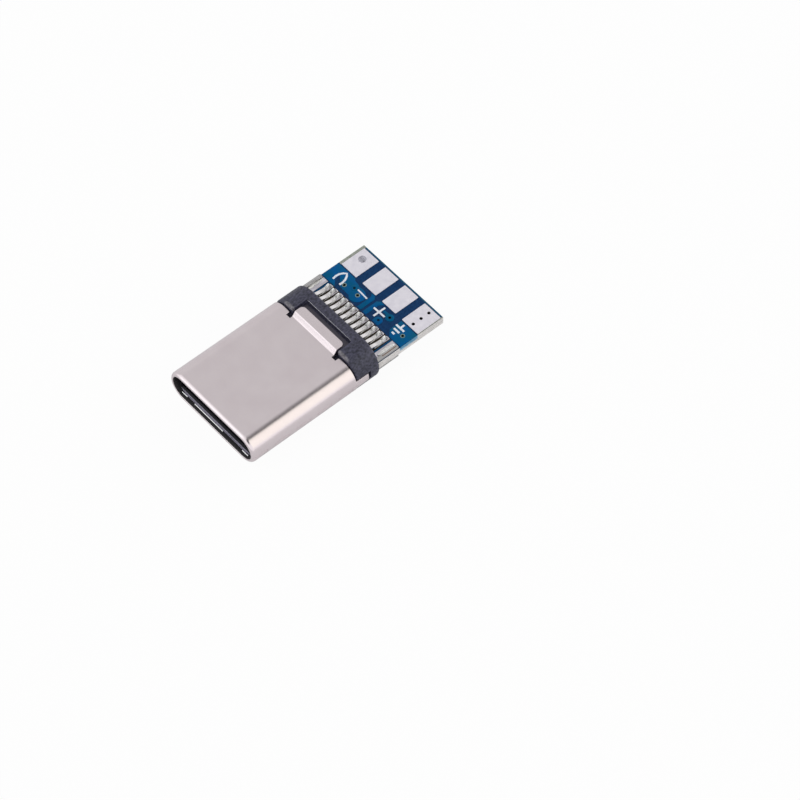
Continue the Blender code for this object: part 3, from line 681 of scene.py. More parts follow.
def copy_to(piece, x_mm):
    """Copy a piece with its own mesh, moved in the mesh rather than as an object."""
    select_only(piece)
    bpy.ops.object.duplicate(linked=False)
    twin = bpy.context.object
    bpy.ops.object.mode_set(mode="EDIT")
    bpy.ops.mesh.select_all(action="SELECT")
    bpy.ops.transform.translate(value=(x_mm * MM, 0, 0))
    bpy.ops.object.mode_set(mode="OBJECT")
    return twin


def hand_over(piece, finish, slot, *replaced):
    """Give a finished piece its material and its body, and hide what it replaces; the slot is not used."""
    paint(piece, finish)
    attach(piece, "root")
    if replaced:
        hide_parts(*replaced)
    print(piece.name, "faces:", len(piece.data.polygons))
    return piece


# %% [markdown]
# ## The shell
#
# Sheet edges on the real shell are slightly rounded by tumbling and catch the light. The solid
# is copied, its loose triangles are merged and its flat faces restored, and its sharp edges
# get a small bevel. The fold is locked on the +X side by four tongues, whose outline shows as
# a fine line. A thin ribbon of that outline is traced and cut into the copy.

# %% The path of the seam

TONGUE_CENTRES = (1.48, 3.24, 4.98, 6.73)
TONGUE_HALF_WIDTH = 0.35
SEAM_HEIGHT = PLUG_MIDDLE - 0.01
TONGUE_NECK = SEAM_HEIGHT - 0.12
TONGUE_FOOT = PLUG_MIDDLE - 0.48
TONGUE_SHOULDER = TONGUE_FOOT + 0.10
LOCK_FOOT = PLUG_MIDDLE - 0.25


def seam_path():
    """Return the lock seam as (y, z) points in mm, from the mouth to the rear."""
    path = [(0.05, SEAM_HEIGHT)]
    for centre in TONGUE_CENTRES:
        front = centre - TONGUE_HALF_WIDTH
        rear = centre + TONGUE_HALF_WIDTH
        path += [(front, SEAM_HEIGHT), (front + 0.04, TONGUE_NECK), (front - 0.05, TONGUE_SHOULDER)]
        path += [(front + 0.03, TONGUE_FOOT), (rear - 0.03, TONGUE_FOOT)]
        path += [(rear + 0.05, TONGUE_SHOULDER), (rear - 0.04, TONGUE_NECK), (rear, SEAM_HEIGHT)]
    path += [(7.82, SEAM_HEIGHT), (7.80, LOCK_FOOT), (8.14, LOCK_FOOT)]
    return path + [(8.16, SEAM_HEIGHT), (8.55, SEAM_HEIGHT)]


def ribbon(path, width):
    """Return the closed outline of a path that has been given a width."""
    left = []
    right = []
    for i, point in enumerate(path):
        here = Vector(point)
        into = (here - Vector(path[max(i - 1, 0)])).normalized()
        out = (Vector(path[min(i + 1, len(path) - 1)]) - here).normalized()
        into = into if i else out
        out = out if i < len(path) - 1 else into
        across = Vector((-(into + out).y, (into + out).x)).normalized()
        reach = width / 2 / max(across.dot(Vector((-into.y, into.x))), 0.5)
        left.append(here + across * reach)
        right.append(here - across * reach)
    return left + right[::-1]


print("seam points:", len(seam_path()))

# %% [markdown]
# The inside of the shell is in deep shade, so its faces get a second, near-black finish:
# painted shade. They are told by their distance from the plug's middle line.

# %% The shell with its seam and its inside painted in shade

SEAM_WIDTH = 0.028
SEAM_FLOOR_X = 4.05
CUTTER_DEPTH = 0.3
SHELL_ROUNDING = 0.018
SHELL_RADIUS = 1.20
SHELL_FLAT = 2.925


def clean_copy(name, copy_name):
    """Copy a solid and merge its triangles into flat faces."""
    select_only(nodes[name])
    bpy.ops.object.duplicate(linked=False)
    piece = bpy.context.object
    piece.name = copy_name
    piece.data.name = copy_name
    bpy.ops.object.parent_clear(type="CLEAR_KEEP_TRANSFORM")
    bpy.ops.object.mode_set(mode="EDIT")
    merge_close(0.0002)
    bpy.ops.mesh.dissolve_limited(angle_limit=math.radians(1.0))
    bpy.ops.object.mode_set(mode="OBJECT")
    return piece


def make_shell():
    shell = clean_copy("shell", "dressed_shell")
    points = [place(SEAM_FLOOR_X, y, z) for y, z in ribbon(seam_path(), SEAM_WIDTH)]
    cut_away(shell, traced_block("seam_cutter", points, (CUTTER_DEPTH * MM, 0, 0)))
    soften(shell, SHELL_ROUNDING, 50.0)
    return shell


def inside_shell(centre):
    """Tell whether a place lies on the inner wall, past the lip of the mouth."""
    aside = max(abs(centre.x) / MM - SHELL_FLAT, 0.0)
    from_middle = math.hypot(aside, centre.z / MM - PLUG_MIDDLE)
    return from_middle < SHELL_RADIUS - 0.17 and centre.y > MOUTH + 0.05 * MM


def finish_faces(piece, finish, test):
    """Give a second finish to the faces whose centre passes a test."""
    piece.data.materials.append(looks[finish])
    chosen = [polygon for polygon in piece.data.polygons if test(polygon.center)]
    for polygon in chosen:
        polygon.material_index = len(piece.data.materials) - 1
    print(piece.name, "second finish on", len(chosen), "faces")


dressed_shell = hand_over(make_shell(), "satin_nickel", "plated_shell", "shell")
finish_faces(dressed_shell, "dull_inside", inside_shell)

# %% [markdown]
# ## The housing
#
# The housing is softened in the same way, and the front of its flange, which faces the shell,
# is rounded further. Where the recess for the sheet's tab ends, a thin pale line is drawn
# across the top: a painted highlight on the moulded edge.

# %% The housing with soft edges and its painted highlight line

FLANGE_FRONT = 8.60
FLANGE_TOP = cad_high.z / MM
FRONT_ROUNDING = 0.20
HOUSING_ROUNDING = 0.03
# The pale line at the end of the recess is a painted highlight.
EDGE_HIGHLIGHT_HALF_LENGTH = 2.14
EDGE_HIGHLIGHT_Y = 9.772
EDGE_HIGHLIGHT_Z = FLANGE_TOP - 0.006


def drawn_line(name, points, width, height):
    """Draw a path, give it a round section and press that flat."""
    piece = begin_trace(name, points[0])
    trace(points)
    bpy.ops.object.mode_set(mode="OBJECT")
    select_only(piece)
    bpy.ops.object.convert(target="CURVE")
    piece = bpy.context.object
    piece.data.bevel_depth = width / 2 * MM
    piece.data.bevel_resolution = 3
    piece.data.use_fill_caps = True
    bpy.ops.object.convert(target="MESH")
    piece = bpy.context.object
    bpy.ops.object.mode_set(mode="EDIT")
    merge_close()
    bpy.ops.transform.resize(value=(1, 1, height / width), center_override=points[0])
    close_mesh()
    bpy.ops.object.shade_smooth_by_angle(angle=math.radians(50))
    return piece


def select_where(piece, kind, test):
    """In edit mode, select only what passes a test; kind is VERT, EDGE or FACE."""
    bpy.ops.mesh.select_all(action="DESELECT")
    bpy.ops.mesh.select_mode(type=kind)
    work = bmesh.from_edit_mesh(piece.data)
    for element in {"VERT": work.verts, "EDGE": work.edges, "FACE": work.faces}[kind]:
        element.select_set(test(element))
    bmesh.update_edit_mesh(piece.data)


def on_front_edge(edge):
    """Tell whether an edge bounds the flange where it faces the shell, above or below."""
    ends = [vertex.co for vertex in edge.verts]
    at_front = all(abs((co.y - MOUTH) / MM - FLANGE_FRONT) < 0.02 for co in ends)
    at_skin = all(co.z / MM > FLANGE_TOP - 0.30 or co.z / MM < 0.30 for co in ends)
    return at_front and at_skin and edge.calc_face_angle(0.0) > 0.7


housing = clean_copy("rear_housing", "dressed_housing")
bpy.ops.object.mode_set(mode="EDIT")
select_where(housing, "EDGE", on_front_edge)
bpy.ops.mesh.bevel(offset=FRONT_ROUNDING * MM, segments=4, affect="EDGES", clamp_overlap=True)
bpy.ops.object.mode_set(mode="OBJECT")
soften(housing, HOUSING_ROUNDING)
hand_over(housing, "grained_nylon", "black_housing", "rear_housing")

# A near-white line on the recess edge: a painted highlight.
edge_highlight_path = [place(-EDGE_HIGHLIGHT_HALF_LENGTH, EDGE_HIGHLIGHT_Y, EDGE_HIGHLIGHT_Z), place(EDGE_HIGHLIGHT_HALF_LENGTH, EDGE_HIGHLIGHT_Y, EDGE_HIGHLIGHT_Z)]
hand_over(drawn_line("recess_edge_highlight", edge_highlight_path, 0.052, 0.0105), "worn_nylon", "black_housing")

# %% [markdown]
# Just inside the mouth the lower carrier ends in a narrow lip, which gets the carrier's painted
# light. Under the lip, the edge of the lower ground spring is drawn as a few short dashes of
# near-white metal, brighter than the spring steel: a painted highlight.

# %% The carrier's lip and the spring edge's painted highlight


def box_outline(left, right, front, rear):
    """Return the four corners of an upright rectangle."""
    return [(left, front), (right, front), (right, rear), (left, rear)]


lip = traced_plate("carrier_lip", box_outline(-3.02, 3.02, 0.30, 0.42), 0.80, 0.86, 0.012)
hand_over(lip, "carrier_black", "black_carrier")

SPRING_EDGE = (0.270, PLUG_MIDDLE - 0.835)
SPRING_DASHES = ((-3.40, -2.72), (-2.00, 0.80), (2.70, 3.28))
dashes = []
for number, ends in enumerate(SPRING_DASHES):
    dash_path = [place(x, *SPRING_EDGE) for x in ends]
    dashes.append(drawn_line(f"dash_{number}", dash_path, 0.09, 0.075))
# The dashes' near-white metal is a painted highlight.
hand_over(joined("spring_edge", dashes), "spring_glint", "spring_steel")

# %% [markdown]
# ## Copper under the lacquer
#
# The copper stands a few hundredths of a millimetre proud of the board, and the lacquer
# follows it. Each area and track is a thin traced plate with rounded edges, and the plated
# holes are drilled through it.

# %% Copper areas on the wire side

COPPER_RISE = 0.022
COPPER_SUNK = 0.004
COPPER_ROUNDING = 0.02
HOLES = {"first": (-2.23, 12.90), "second": (-1.04, 13.00), "third": (1.66, 13.38), "fourth": (3.29, 13.05)}
PAD_HOLES = {"pad_front": (3.04, 14.17), "pad_middle": (3.04, 14.835), "pad_rear": (3.04, 15.50)}
HOLE_RADIUS = 0.112
ROUND_STEPS = 28

TOP_COPPER = {
    "supply_area": [
        (-3.85, 12.37), (-3.85, 13.79), (-2.16, 13.79), (-2.05, 13.66), (-1.62, 13.60), (-1.50, 13.54),
        (-1.15, 13.57), (-0.90, 13.53), (-0.68, 13.42), (-0.53, 13.24), (-0.50, 13.02), (-0.55, 12.78),
        (-0.68, 12.58), (-0.85, 12.45), (-1.10, 12.40), (-1.28, 12.45), (-1.46, 12.58), (-2.28, 12.60),
        (-2.38, 12.66), (-3.05, 13.22), (-3.02, 12.80), (-2.62, 12.42), (-2.62, 12.37),
    ],
    "minus_track": [
        (-0.40, 12.40), (-0.07, 12.40), (-0.07, 13.62), (-0.28, 13.82), (-0.60, 13.82), (-0.40, 13.58),
    ],
    "plus_track": [
        (0.12, 12.40), (0.45, 12.40), (0.45, 13.48), (0.72, 13.82), (0.33, 13.82), (0.12, 13.60),
    ],
    "plus_arm": [
        (0.96, 13.36), (1.28, 13.36), (1.40, 13.20), (1.58, 13.09), (1.76, 13.10), (1.91, 13.20),
        (1.97, 13.38), (1.91, 13.56), (1.76, 13.67), (1.58, 13.68), (1.42, 13.56), (0.96, 13.54),
    ],
    "signal_arm": [
        (1.06, 12.40), (1.60, 12.40), (1.63, 12.62), (1.60, 12.83), (1.46, 12.97), (1.26, 12.99),
        (1.10, 12.90), (1.02, 12.74), (1.03, 12.56),
    ],
    "ground_area": [
        (2.34, 13.79), (2.34, 13.00), (2.36, 12.78), (2.62, 12.52), (2.76, 12.37), (3.85, 12.37),
        (3.85, 13.79),
    ],
}


def lay_copper(name, outline, bottom, top):
    """Trace an area of copper, drill the plated holes through it and lacquer it."""
    plate = traced_plate(name, outline, bottom, top, COPPER_ROUNDING)
    drills = []
    for x, y in [*HOLES.values(), *PAD_HOLES.values()]:
        select_only()
        size = {"vertices": ROUND_STEPS, "radius": HOLE_RADIUS * MM, "depth": 3 * MM}
        bpy.ops.mesh.primitive_cylinder_add(**size, location=place(x, y, PLUG_MIDDLE))
        drills.append(bpy.context.object)
    cut_away(plate, joined("drill", drills))
    hand_over(plate, "blue_lacquer_over_copper", "blue_board")


for area, outline in TOP_COPPER.items():
    lay_copper("top_copper_" + area, outline, BOARD_TOP - COPPER_SUNK, BOARD_TOP + COPPER_RISE)

# %% [markdown]
# Underneath, copper covers most of the board. What stays navy is a thin moat round the middle
# area, a wedge beside the last hole and the strip behind the pins.

# %% Copper areas underneath

BOTTOM_COPPER = {
    "rear_area": [
        (-3.85, 12.30), (-2.82, 12.30), (-2.82, 13.26), (-2.60, 13.34), (-2.60, 14.80), (3.20, 14.80),
        (3.20, 13.30), (2.95, 13.22), (2.36, 13.18), (2.24, 12.98), (2.42, 12.86), (2.58, 12.66),
        (2.62, 12.32), (3.68, 12.32), (3.68, 15.94), (-3.85, 15.94),
    ],
    "middle_area": [
        (-2.52, 12.50), (-1.48, 12.50), (-1.45, 12.32), (-1.18, 12.32), (-1.15, 12.50), (0.72, 12.50),
        (0.92, 12.42), (1.04, 12.30), (1.48, 12.30), (1.54, 12.60), (1.46, 12.86), (1.24, 12.99),
        (1.02, 13.20), (-2.42, 13.22), (-2.56, 13.10),
    ],
}

for area, outline in BOTTOM_COPPER.items():
    lay_copper("under_copper_" + area, outline, BOARD_BOTTOM - COPPER_RISE, BOARD_BOTTOM + COPPER_SUNK)

# %% [markdown]
# ## The supply pad
#
# The pad at the supply side keeps clear of the board's edge, and the cloth shows beside it. The
# pad is traced again with that margin. A hole in it was filled with solder from below, which
# shows as a small dull dish with a raised rim: half its section is traced and spun.

# %% The supply pad and its dull dish


def turned_piece(name, shape, centre, face, out, finish, slot="tinned_copper", steps=ROUND_STEPS):
    """Spin a section round an axis at (x, y); its points are (radius, rise) from a face."""
    points = [place(centre[0] + radius, centre[1], face + out * rise) for radius, rise in shape]
    points.append(points[0])
    piece = begin_trace(name, points[0])
    trace(points)
    merge_close()
    bpy.ops.mesh.spin(steps=steps, angle=math.tau, center=place(*centre, 0.0), axis=(0, 0, 1))
    merge_close()
    close_mesh()
    bpy.ops.object.shade_smooth_by_angle(angle=math.radians(40))
    hand_over(piece, finish, slot)


pad_low, pad_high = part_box("wire_pad_supply")
PAD_TOP = pad_high.z / MM
PAD_BASE = BOARD_TOP + 0.01
pad_shape = box_outline(MARGIN_X, pad_high.x / MM, (pad_low.y - MOUTH) / MM, (pad_high.y - MOUTH) / MM)
supply_pad = traced_plate("supply_pad", pad_shape, PAD_BASE, PAD_TOP - 0.002, 0.012)
hand_over(supply_pad, "levelled_tin", "tinned_copper", "wire_pad_supply")

DISH_CENTRE = (-3.04, 15.13)
DISH = (
    (0.0001, -0.012), (0.0001, 0.0), (0.10, 0.003), (0.17, 0.015), (0.225, 0.034), (0.245, 0.036),
    (0.268, 0.022), (0.275, -0.012),
)
turned_piece("supply_pad_dish", DISH, DISH_CENTRE, PAD_TOP, 1, "dull_tin", steps=36)

# %% [markdown]
# ## Plated holes
#
# A plated hole is a rivet of copper: a thin barrel through the board with a flange on each
# face. No light reaches down it, so the barrel is painted near black as painted shade, and only
# the flange shows, as a thin greenish ring. One hole has a broad ring under the lacquer.

# %% Barrels and their rings

BARREL_INNER = 0.100
BARREL_PROUD = 0.026
RING_OUTER = 0.160
RING_CHAMFER = 0.014
LACQUERED_HOLE = "third"
FACES = {"top": (BOARD_TOP + 0.030, 1), "under": (BOARD_BOTTOM - 0.030, -1)}


def barrel(label, centre, top):
    """The plating on the wall of a hole, painted near black as painted shade."""
    bottom = BOARD_BOTTOM - BARREL_PROUD
    wall = [(BARREL_INNER, bottom), (BARREL_INNER, top), (HOLE_RADIUS, top), (HOLE_RADIUS, bottom)]
    turned_piece("barrel_" + label, wall, centre, 0.0, 1, "dark_hole")


def ring_shape(outer, rise):
    """A low rounded ring round a hole."""
    return [
        (BARREL_INNER, -0.02), (BARREL_INNER, rise * 0.6), (BARREL_INNER + RING_CHAMFER, rise),
        (outer - RING_CHAMFER, rise), (outer, rise * 0.6), (outer, -0.02),
    ]


for label, centre in HOLES.items():
    barrel(label, centre, BOARD_TOP + BARREL_PROUD)
    for side, (face, out) in FACES.items():
        name = f"ring_{label}_{side}"
        if label == LACQUERED_HOLE:
            broad = ring_shape(0.25, 0.016)
            sunk = face - out * 0.012
            turned_piece(name, broad, centre, sunk, out, "blue_lacquer_over_copper", "blue_board")
        else:
            turned_piece(name, ring_shape(RING_OUTER, 0.006), centre, face, out, "hole_ring")
for label, centre in PAD_HOLES.items():
    barrel(label, centre, PAD_TOP + 0.004)

# %% [markdown]
# Some holes are closed with lacquer, which leaves a low ring with a dimple, painted near black
# as painted shade in its hollow. Ring and dimple are turned about the same axis.

# %% Closed holes

CLOSED_TOP = {"a": (-1.62, 13.22), "b": (1.33, 12.70)}
CLOSED_UNDER = {"a": (-1.68, 13.18), "b": (1.31, 12.68), "c": (-3.32, 12.58)}
CLOSED_RIM = (
    (0.085, -0.01), (0.085, 0.014), (0.12, 0.028), (0.16, 0.032), (0.20, 0.024), (0.24, 0.004), (0.24, -0.01),
)
CLOSED_PIT = ((0.0001, -0.008), (0.0001, 0.008), (0.060, 0.012), (0.092, 0.020), (0.092, -0.008))


def closed_hole(name, centre, face, out):
    """A low lacquered ring on a face, with a dimple in its middle painted dark as painted shade."""
    turned_piece(name, CLOSED_RIM, centre, face, out, "blue_lacquer_over_copper", "blue_board")
    turned_piece(name + "_dimple", CLOSED_PIT, centre, face, out, "dark_lacquer", "blue_board")


for label, centre in CLOSED_TOP.items():
    closed_hole("closed_hole_top_" + label, centre, BOARD_TOP + COPPER_RISE - 0.006, 1)
for label, centre in CLOSED_UNDER.items():
    closed_hole("closed_hole_under_" + label, centre, BOARD_BOTTOM - COPPER_RISE + 0.006, -1)

# %% [markdown]
# ## Solder
#
# Every contact foot lies on a narrow tinned pad with two cut corners. One pad is traced and
# then copied along the row.

# %% The narrow pads under the contacts

PIN_PLACES = [(-5.5 + i) * 0.5 for i in range(12)]
PIN_PAD_HALF = 0.16
PIN_PAD_Y = (11.30, 12.29)
PIN_PAD_CORNER = 0.05


def row_of(name, first):
    """Copy the first contact's piece to all the others and join them."""
    return joined(name, [first] + [copy_to(first, x - PIN_PLACES[0]) for x in PIN_PLACES[1:]])


def pin_pad_row(name, bottom, top):
    """Lay a pad with cut corners under every contact of a row."""
    front, rear = PIN_PAD_Y
    left, right = PIN_PLACES[0] - PIN_PAD_HALF, PIN_PLACES[0] + PIN_PAD_HALF
    cut = PIN_PAD_CORNER
    outline = [(left, front), (right, front), (right, rear - cut), (right - cut, rear), (left + cut, rear)]
    first = traced_plate(name, outline + [(left, rear - cut)], bottom, top, 0.01)
    hand_over(row_of(name, first), "rolled_tin", "tinned_copper")


pin_pad_row("pin_pads_top", BOARD_TOP + 0.001, BOARD_TOP + 0.035)
pin_pad_row("pin_pads_under", BOARD_BOTTOM - 0.035, BOARD_BOTTOM - 0.001)

# %% [markdown]
# At the end of each contact the solder has drawn up into a bead. In front of the bead it lies
# as a low bar that is a little wider than the contact. Bar and bead are one piece: a rounded
# section is traced, then extruded along the plug and resized at each stop. A cloud pattern
# pushes the surface of the whole row about, so that no two joints are the same.

# %% A bar of solder with a bead at its end

BAR_STOPS_TOP = [
    (11.00, 0.120, 0.030), (11.12, 0.165, 0.070), (11.30, 0.175, 0.120), (11.55, 0.180, 0.145),
    (11.68, 0.170, 0.160), (11.76, 0.145, 0.250), (11.86, 0.108, 0.390), (11.96, 0.092, 0.470),
    (12.03, 0.095, 0.440), (12.10, 0.120, 0.290), (12.18, 0.142, 0.130), (12.26, 0.130, 0.030),
]
BAR_STOPS_UNDER = [
    (11.48, 0.120, 0.030), (11.58, 0.150, 0.120), (11.68, 0.170, 0.260), (11.78, 0.160, 0.300),
    (11.88, 0.140, 0.220), (11.98, 0.150, 0.120), (12.14, 0.150, 0.100), (12.26, 0.130, 0.040),
    (12.31, 0.110, 0.020),
]
SECTION_STEPS = 8
BAR_SUNK = 0.015


def subdivided(piece, levels):
    """Round a piece off by subdividing its surface."""
    piece.modifiers.new("rounded", "SUBSURF").levels = levels
    apply_all(piece)


def roughened(piece, size_mm, depth_mm):
    """Push the surface about with a cloud pattern."""
    pattern = bpy.data.textures.new(piece.name + "_clouds", "CLOUDS")
    pattern.noise_scale = size_mm * MM
    modifier = piece.modifiers.new("uneven", "DISPLACE")
    modifier.texture = pattern
    modifier.texture_coords = "LOCAL"
    modifier.strength = depth_mm * MM
    apply_all(piece)


def solder_bar(name, x, base, out, stops):
    """Extrude a rounded section along the plug; stops are (y, half width, height) in mm."""
    y, half, height = stops[0]
    points = []
    for i in range(SECTION_STEPS + 1):
        angle = math.pi * i / SECTION_STEPS
        across = math.copysign(abs(math.cos(angle)) ** 0.7, math.cos(angle))
        points.append(place(x - half * across, y, base + out * height * math.sin(angle) ** 0.8))
    piece = traced_face(name, points)
    for (y, half, height), (next_y, next_half, next_height) in zip(stops, stops[1:]):
        bpy.ops.mesh.extrude_region_move(TRANSFORM_OT_translate={"value": (0, (next_y - y) * MM, 0)})
        ratio = (next_half / half, 1, next_height / height)
        bpy.ops.transform.resize(value=ratio, center_override=place(x, next_y, base))
    close_mesh()
    bpy.ops.object.shade_smooth_by_angle(angle=math.radians(70))
    return piece


def solder_row(name, base, out, stops):
    """Solder every contact of a row; out is 1 on the top and -1 underneath."""
    bar = solder_bar(name, PIN_PLACES[0], base, out, stops)
    subdivided(bar, 1)
    row = row_of(name, bar)
    roughened(row, 0.25, 0.022)
    hand_over(row, "drawn_solder", "tinned_copper")


solder_row("pin_solder_top", BOARD_TOP + BAR_SUNK, 1, BAR_STOPS_TOP)
solder_row("pin_solder_under", BOARD_BOTTOM - BAR_SUNK, -1, BAR_STOPS_UNDER)

# %% [markdown]
# The other joints are soft mounds. Each is shaped from a box: its top is inset and raised
# twice, its rear end is pulled down into a toe, and a subdivision turns it into a mound.

# %% A mound of solder

MOUND_SUNK = 0.03
INSET_SHARE = 0.18


def shape_mound(piece, x, y, crest, out, height, toe_drop):
    """In edit mode, raise the top of a box twice and pull its rear end down."""
    for share in (0.6, 0.5):
        select_where(piece, "FACE", lambda face: face.normal.z * out > 0.9)
        bpy.ops.mesh.inset(thickness=(x[1] - x[0]) * INSET_SHARE * MM)
        bpy.ops.transform.translate(value=(0, 0, out * height * share / 2 * MM))
    toe = place(0, y[0] + (y[1] - y[0]) * 0.6, crest)
    select_where(piece, "VERT", lambda vertex: vertex.co.y > toe.y and (vertex.co.z - toe.z) * out > 0)
    bpy.ops.transform.translate(value=(0, -0.03 * MM, -out * toe_drop * MM))


def solder_mound(name, x, y, face, height, out, toe_drop, cloud_mm, uneven_mm):
    """A soft mound on a face, over (low, high) ranges of x and y; out is 1 or -1, as before."""
    base = face + out * MOUND_SUNK
    select_only()
    bpy.ops.mesh.primitive_cube_add(size=1.0, location=(0, 0, 0))
    piece = bpy.context.object
    piece.name = name
    piece.data.name = name
    bpy.ops.object.mode_set(mode="EDIT")
    bpy.ops.transform.resize(value=((x[1] - x[0]) * MM, (y[1] - y[0]) * MM, height / 2 * MM))
    bpy.ops.transform.translate(value=place(sum(x) / 2, sum(y) / 2, base + out * height / 4))
    shape_mound(piece, x, y, base + out * height * 0.55, out, height, toe_drop)
    close_mesh()
    subdivided(piece, 2)
    bpy.ops.object.shade_smooth()
    roughened(piece, cloud_mm, uneven_mm)
    hand_over(piece, "bright_solder", "tinned_copper")

# %% [markdown]
# The forked legs of the latch plate grip the board at both sides. Solder fills the corner
# between each fork and the tinned strip next to it, on both faces. On top of the right fork,
# dried flux has left a thin brown line.

# %% Solder along the forks and at the chips

FORK_EDGE = 3.62
FORK_SOLDER_Y = (10.74, 12.28)
for face, height, out in (("top", BOARD_TOP, 1), ("under", BOARD_BOTTOM, -1)):
    for hand, side, rise, inner in (("left", -1, 0.07, 3.40), ("right", 1, 0.08, 3.24)):
        span = sorted((side * inner, side * FORK_EDGE))
        solder_mound(f"fork_solder_{face}_{hand}", span, FORK_SOLDER_Y, height, rise, out, 0.03, 0.30, 0.06)

STAIN_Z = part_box("latch_plate")[1].z / MM - 0.002
stain_path = [place(x, y, STAIN_Z) for x, y in ((3.72, 10.95), (3.735, 11.45), (3.72, 12.16))]
hand_over(drawn_line("flux_stain", stain_path, 0.07, 0.016), "flux_brown", "tinned_copper")

CHIP_ROW = 14.06
CHIPS = {"capacitor": -1.35, "resistor": 0.85}
for chip, chip_x in CHIPS.items():
    for hand, side in (("left", -1), ("right", 1)):
        span = sorted((chip_x + side * 0.46, chip_x + side * 0.86))
        y = (CHIP_ROW - 0.31, CHIP_ROW + 0.31)
        solder_mound(f"{chip}_solder_{hand}", span, y, BOARD_BOTTOM, 0.26, -1, 0.04, 0.25, 0.06)
spare_y = (CHIP_ROW - 0.30, CHIP_ROW + 0.30)
solder_mound("spare_pad_solder", (2.13, 2.67), spare_y, BOARD_BOTTOM, 0.12, -1, 0.02, 0.3, 0.04)

# %% [markdown]
# ## Printed marks
#
# The marks are thick white ink. The outer wire pads get the symbols that circuit diagrams use
# for a supply rail and for ground, and the inner ones a minus and a plus sign. Underneath, a
# frame goes round the two chips, with the symbols of a capacitor and a resistor behind it.

# %% Ink on the wire side

INK_WIDTH = 0.16
INK_RELIEF = 0.044
INK_TOP = BOARD_TOP + 0.016


def ink(name, strokes, height, width=INK_WIDTH):
    """Draw strokes of ink, each a list of (x, y) points, as one piece."""
    lines = []
    for number, stroke in enumerate(strokes):
        points = [place(x, y, height) for x, y in stroke]
        lines.append(drawn_line(f"{name}_{number}", points, width, INK_RELIEF))
    hand_over(joined(name, lines), "white_ink", "blue_board")


ARCH = [
    (-3.10, 12.68), (-3.15, 12.95), (-3.12, 13.22), (-3.00, 13.46), (-2.82, 13.63),
    (-2.65, 13.46), (-2.52, 13.22), (-2.46, 12.95), (-2.47, 12.68),
]
GROUND_STEM = [(2.72, 13.70), (2.72, 13.36)]
GROUND_BARS = [
    [(2.34, 13.34), (3.10, 13.34)],
    [(2.46, 13.04), (2.98, 13.04)],
    [(2.60, 12.75), (2.84, 12.75)],
]
ink("mark_supply", [ARCH], INK_TOP)
ink("mark_minus", [[(-1.37, 13.32), (-0.44, 13.28)]], INK_TOP, 0.12)
ink("mark_plus", [[(0.39, 13.15), (1.40, 13.17)], [(0.87, 13.68), (0.86, 12.70)]], INK_TOP, 0.14)
ink("mark_ground", [GROUND_STEM, *GROUND_BARS], INK_TOP)

# %% [markdown]
# The frame is one open line, with a second one across it between the chips. The capacitor is
# two plates with a lead each, and the resistor a zigzag between its leads.

# %% Ink underneath

INK_UNDER = BOARD_BOTTOM - 0.016
FRAME_WIDTH = 0.18
FRAME = [(3.01, 14.04), (3.01, 13.33), (-2.43, 13.33), (-2.43, 14.62), (3.01, 14.62), (3.01, 14.30)]
FRAME_BAR = [(-0.20, 13.33), (-0.20, 14.62)]
LEADS = [[(-2.15, 15.32), (-1.56, 15.32)], [(-1.24, 15.32), (-0.66, 15.32)]]
PLATES = [[(x, 14.90), (x, 15.74)] for x in (-1.56, -1.24)]
ZIGZAG = [
    (0.20, 15.32), (0.60, 15.32), (0.74, 15.66), (1.00, 14.98), (1.26, 15.66), (1.52, 14.98),
    (1.78, 15.66), (1.92, 15.32), (2.50, 15.32),
]
ink("chip_frame", [FRAME, FRAME_BAR], INK_UNDER, FRAME_WIDTH)
ink("mark_capacitor", [LEADS[0], *PLATES, LEADS[1]], INK_UNDER)
ink("mark_resistor", [ZIGZAG], INK_UNDER)

# %% [markdown]
# ## Floor, light and camera
#
# The plug lies on white paper. The paper is plain white to the camera and softer in
# reflections, and from below it can be seen through, so that the underside can be looked at.

# %% The floor

SEEN_GLOW = 0.95
MIRRORED_GLOW = 0.34

select_only()
bpy.ops.mesh.primitive_plane_add(size=3.0, location=(0, 0, -0.00002))
floor = bpy.context.object
floor.name = "floor"


def mix_shaders(tree, share, first, second):
    """Mix two shaders by a share."""
    return add_node(tree, "MixShader", {0: share, 1: first, 2: second}).outputs["Shader"]


def make_floor_finish():
    tree = new_material("white_paper")
    glow = tree.nodes.new("ShaderNodeEmission")
    clear = tree.nodes.new("ShaderNodeBsdfTransparent")
    geometry = tree.nodes.new("ShaderNodeNewGeometry")
    rays = tree.nodes.new("ShaderNodeLightPath")
    mirror = rays.outputs["Is Glossy Ray"]
    surface(tree, mixed(tree, mirror, (0.86, 0.86, 0.86), (0.56, 0.56, 0.57)), 0.9)
    seen = calculate(tree, "MULTIPLY", rays.outputs["Is Camera Ray"], SEEN_GLOW)
    through = calculate(tree, "MAXIMUM", mirror, rays.outputs["Is Transmission Ray"])
    mirrored = calculate(tree, "MULTIPLY", through, MIRRORED_GLOW)
    share = calculate(tree, "MAXIMUM", seen, mirrored)
    paper = tree.nodes["Principled BSDF"].outputs["BSDF"]
    lit = mix_shaders(tree, share, paper, glow.outputs["Emission"])
    sided = mix_shaders(tree, geometry.outputs["Backfacing"], lit, clear.outputs["BSDF"])
    tree.links.new(sided, tree.nodes["Material Output"].inputs["Surface"])


make_floor_finish()
paint(floor, "white_paper")

# %% [markdown]
# Round the plug stands a light tent. Its walls are white, two grey panels hang at the far left,
# one high and one low, and a dark slot overhead lets the camera look in. Metal has no colour of
# its own: the panels are what makes the flat top and the left side grey, and the slot draws the
# thin dark line along the right side. To the camera itself the tent is plain white. Each panel
# and each part of the slot is a cone of directions: where it lies, the half angles in degrees
# at which its soft edge starts and ends, and its brightness.

# %% The tent

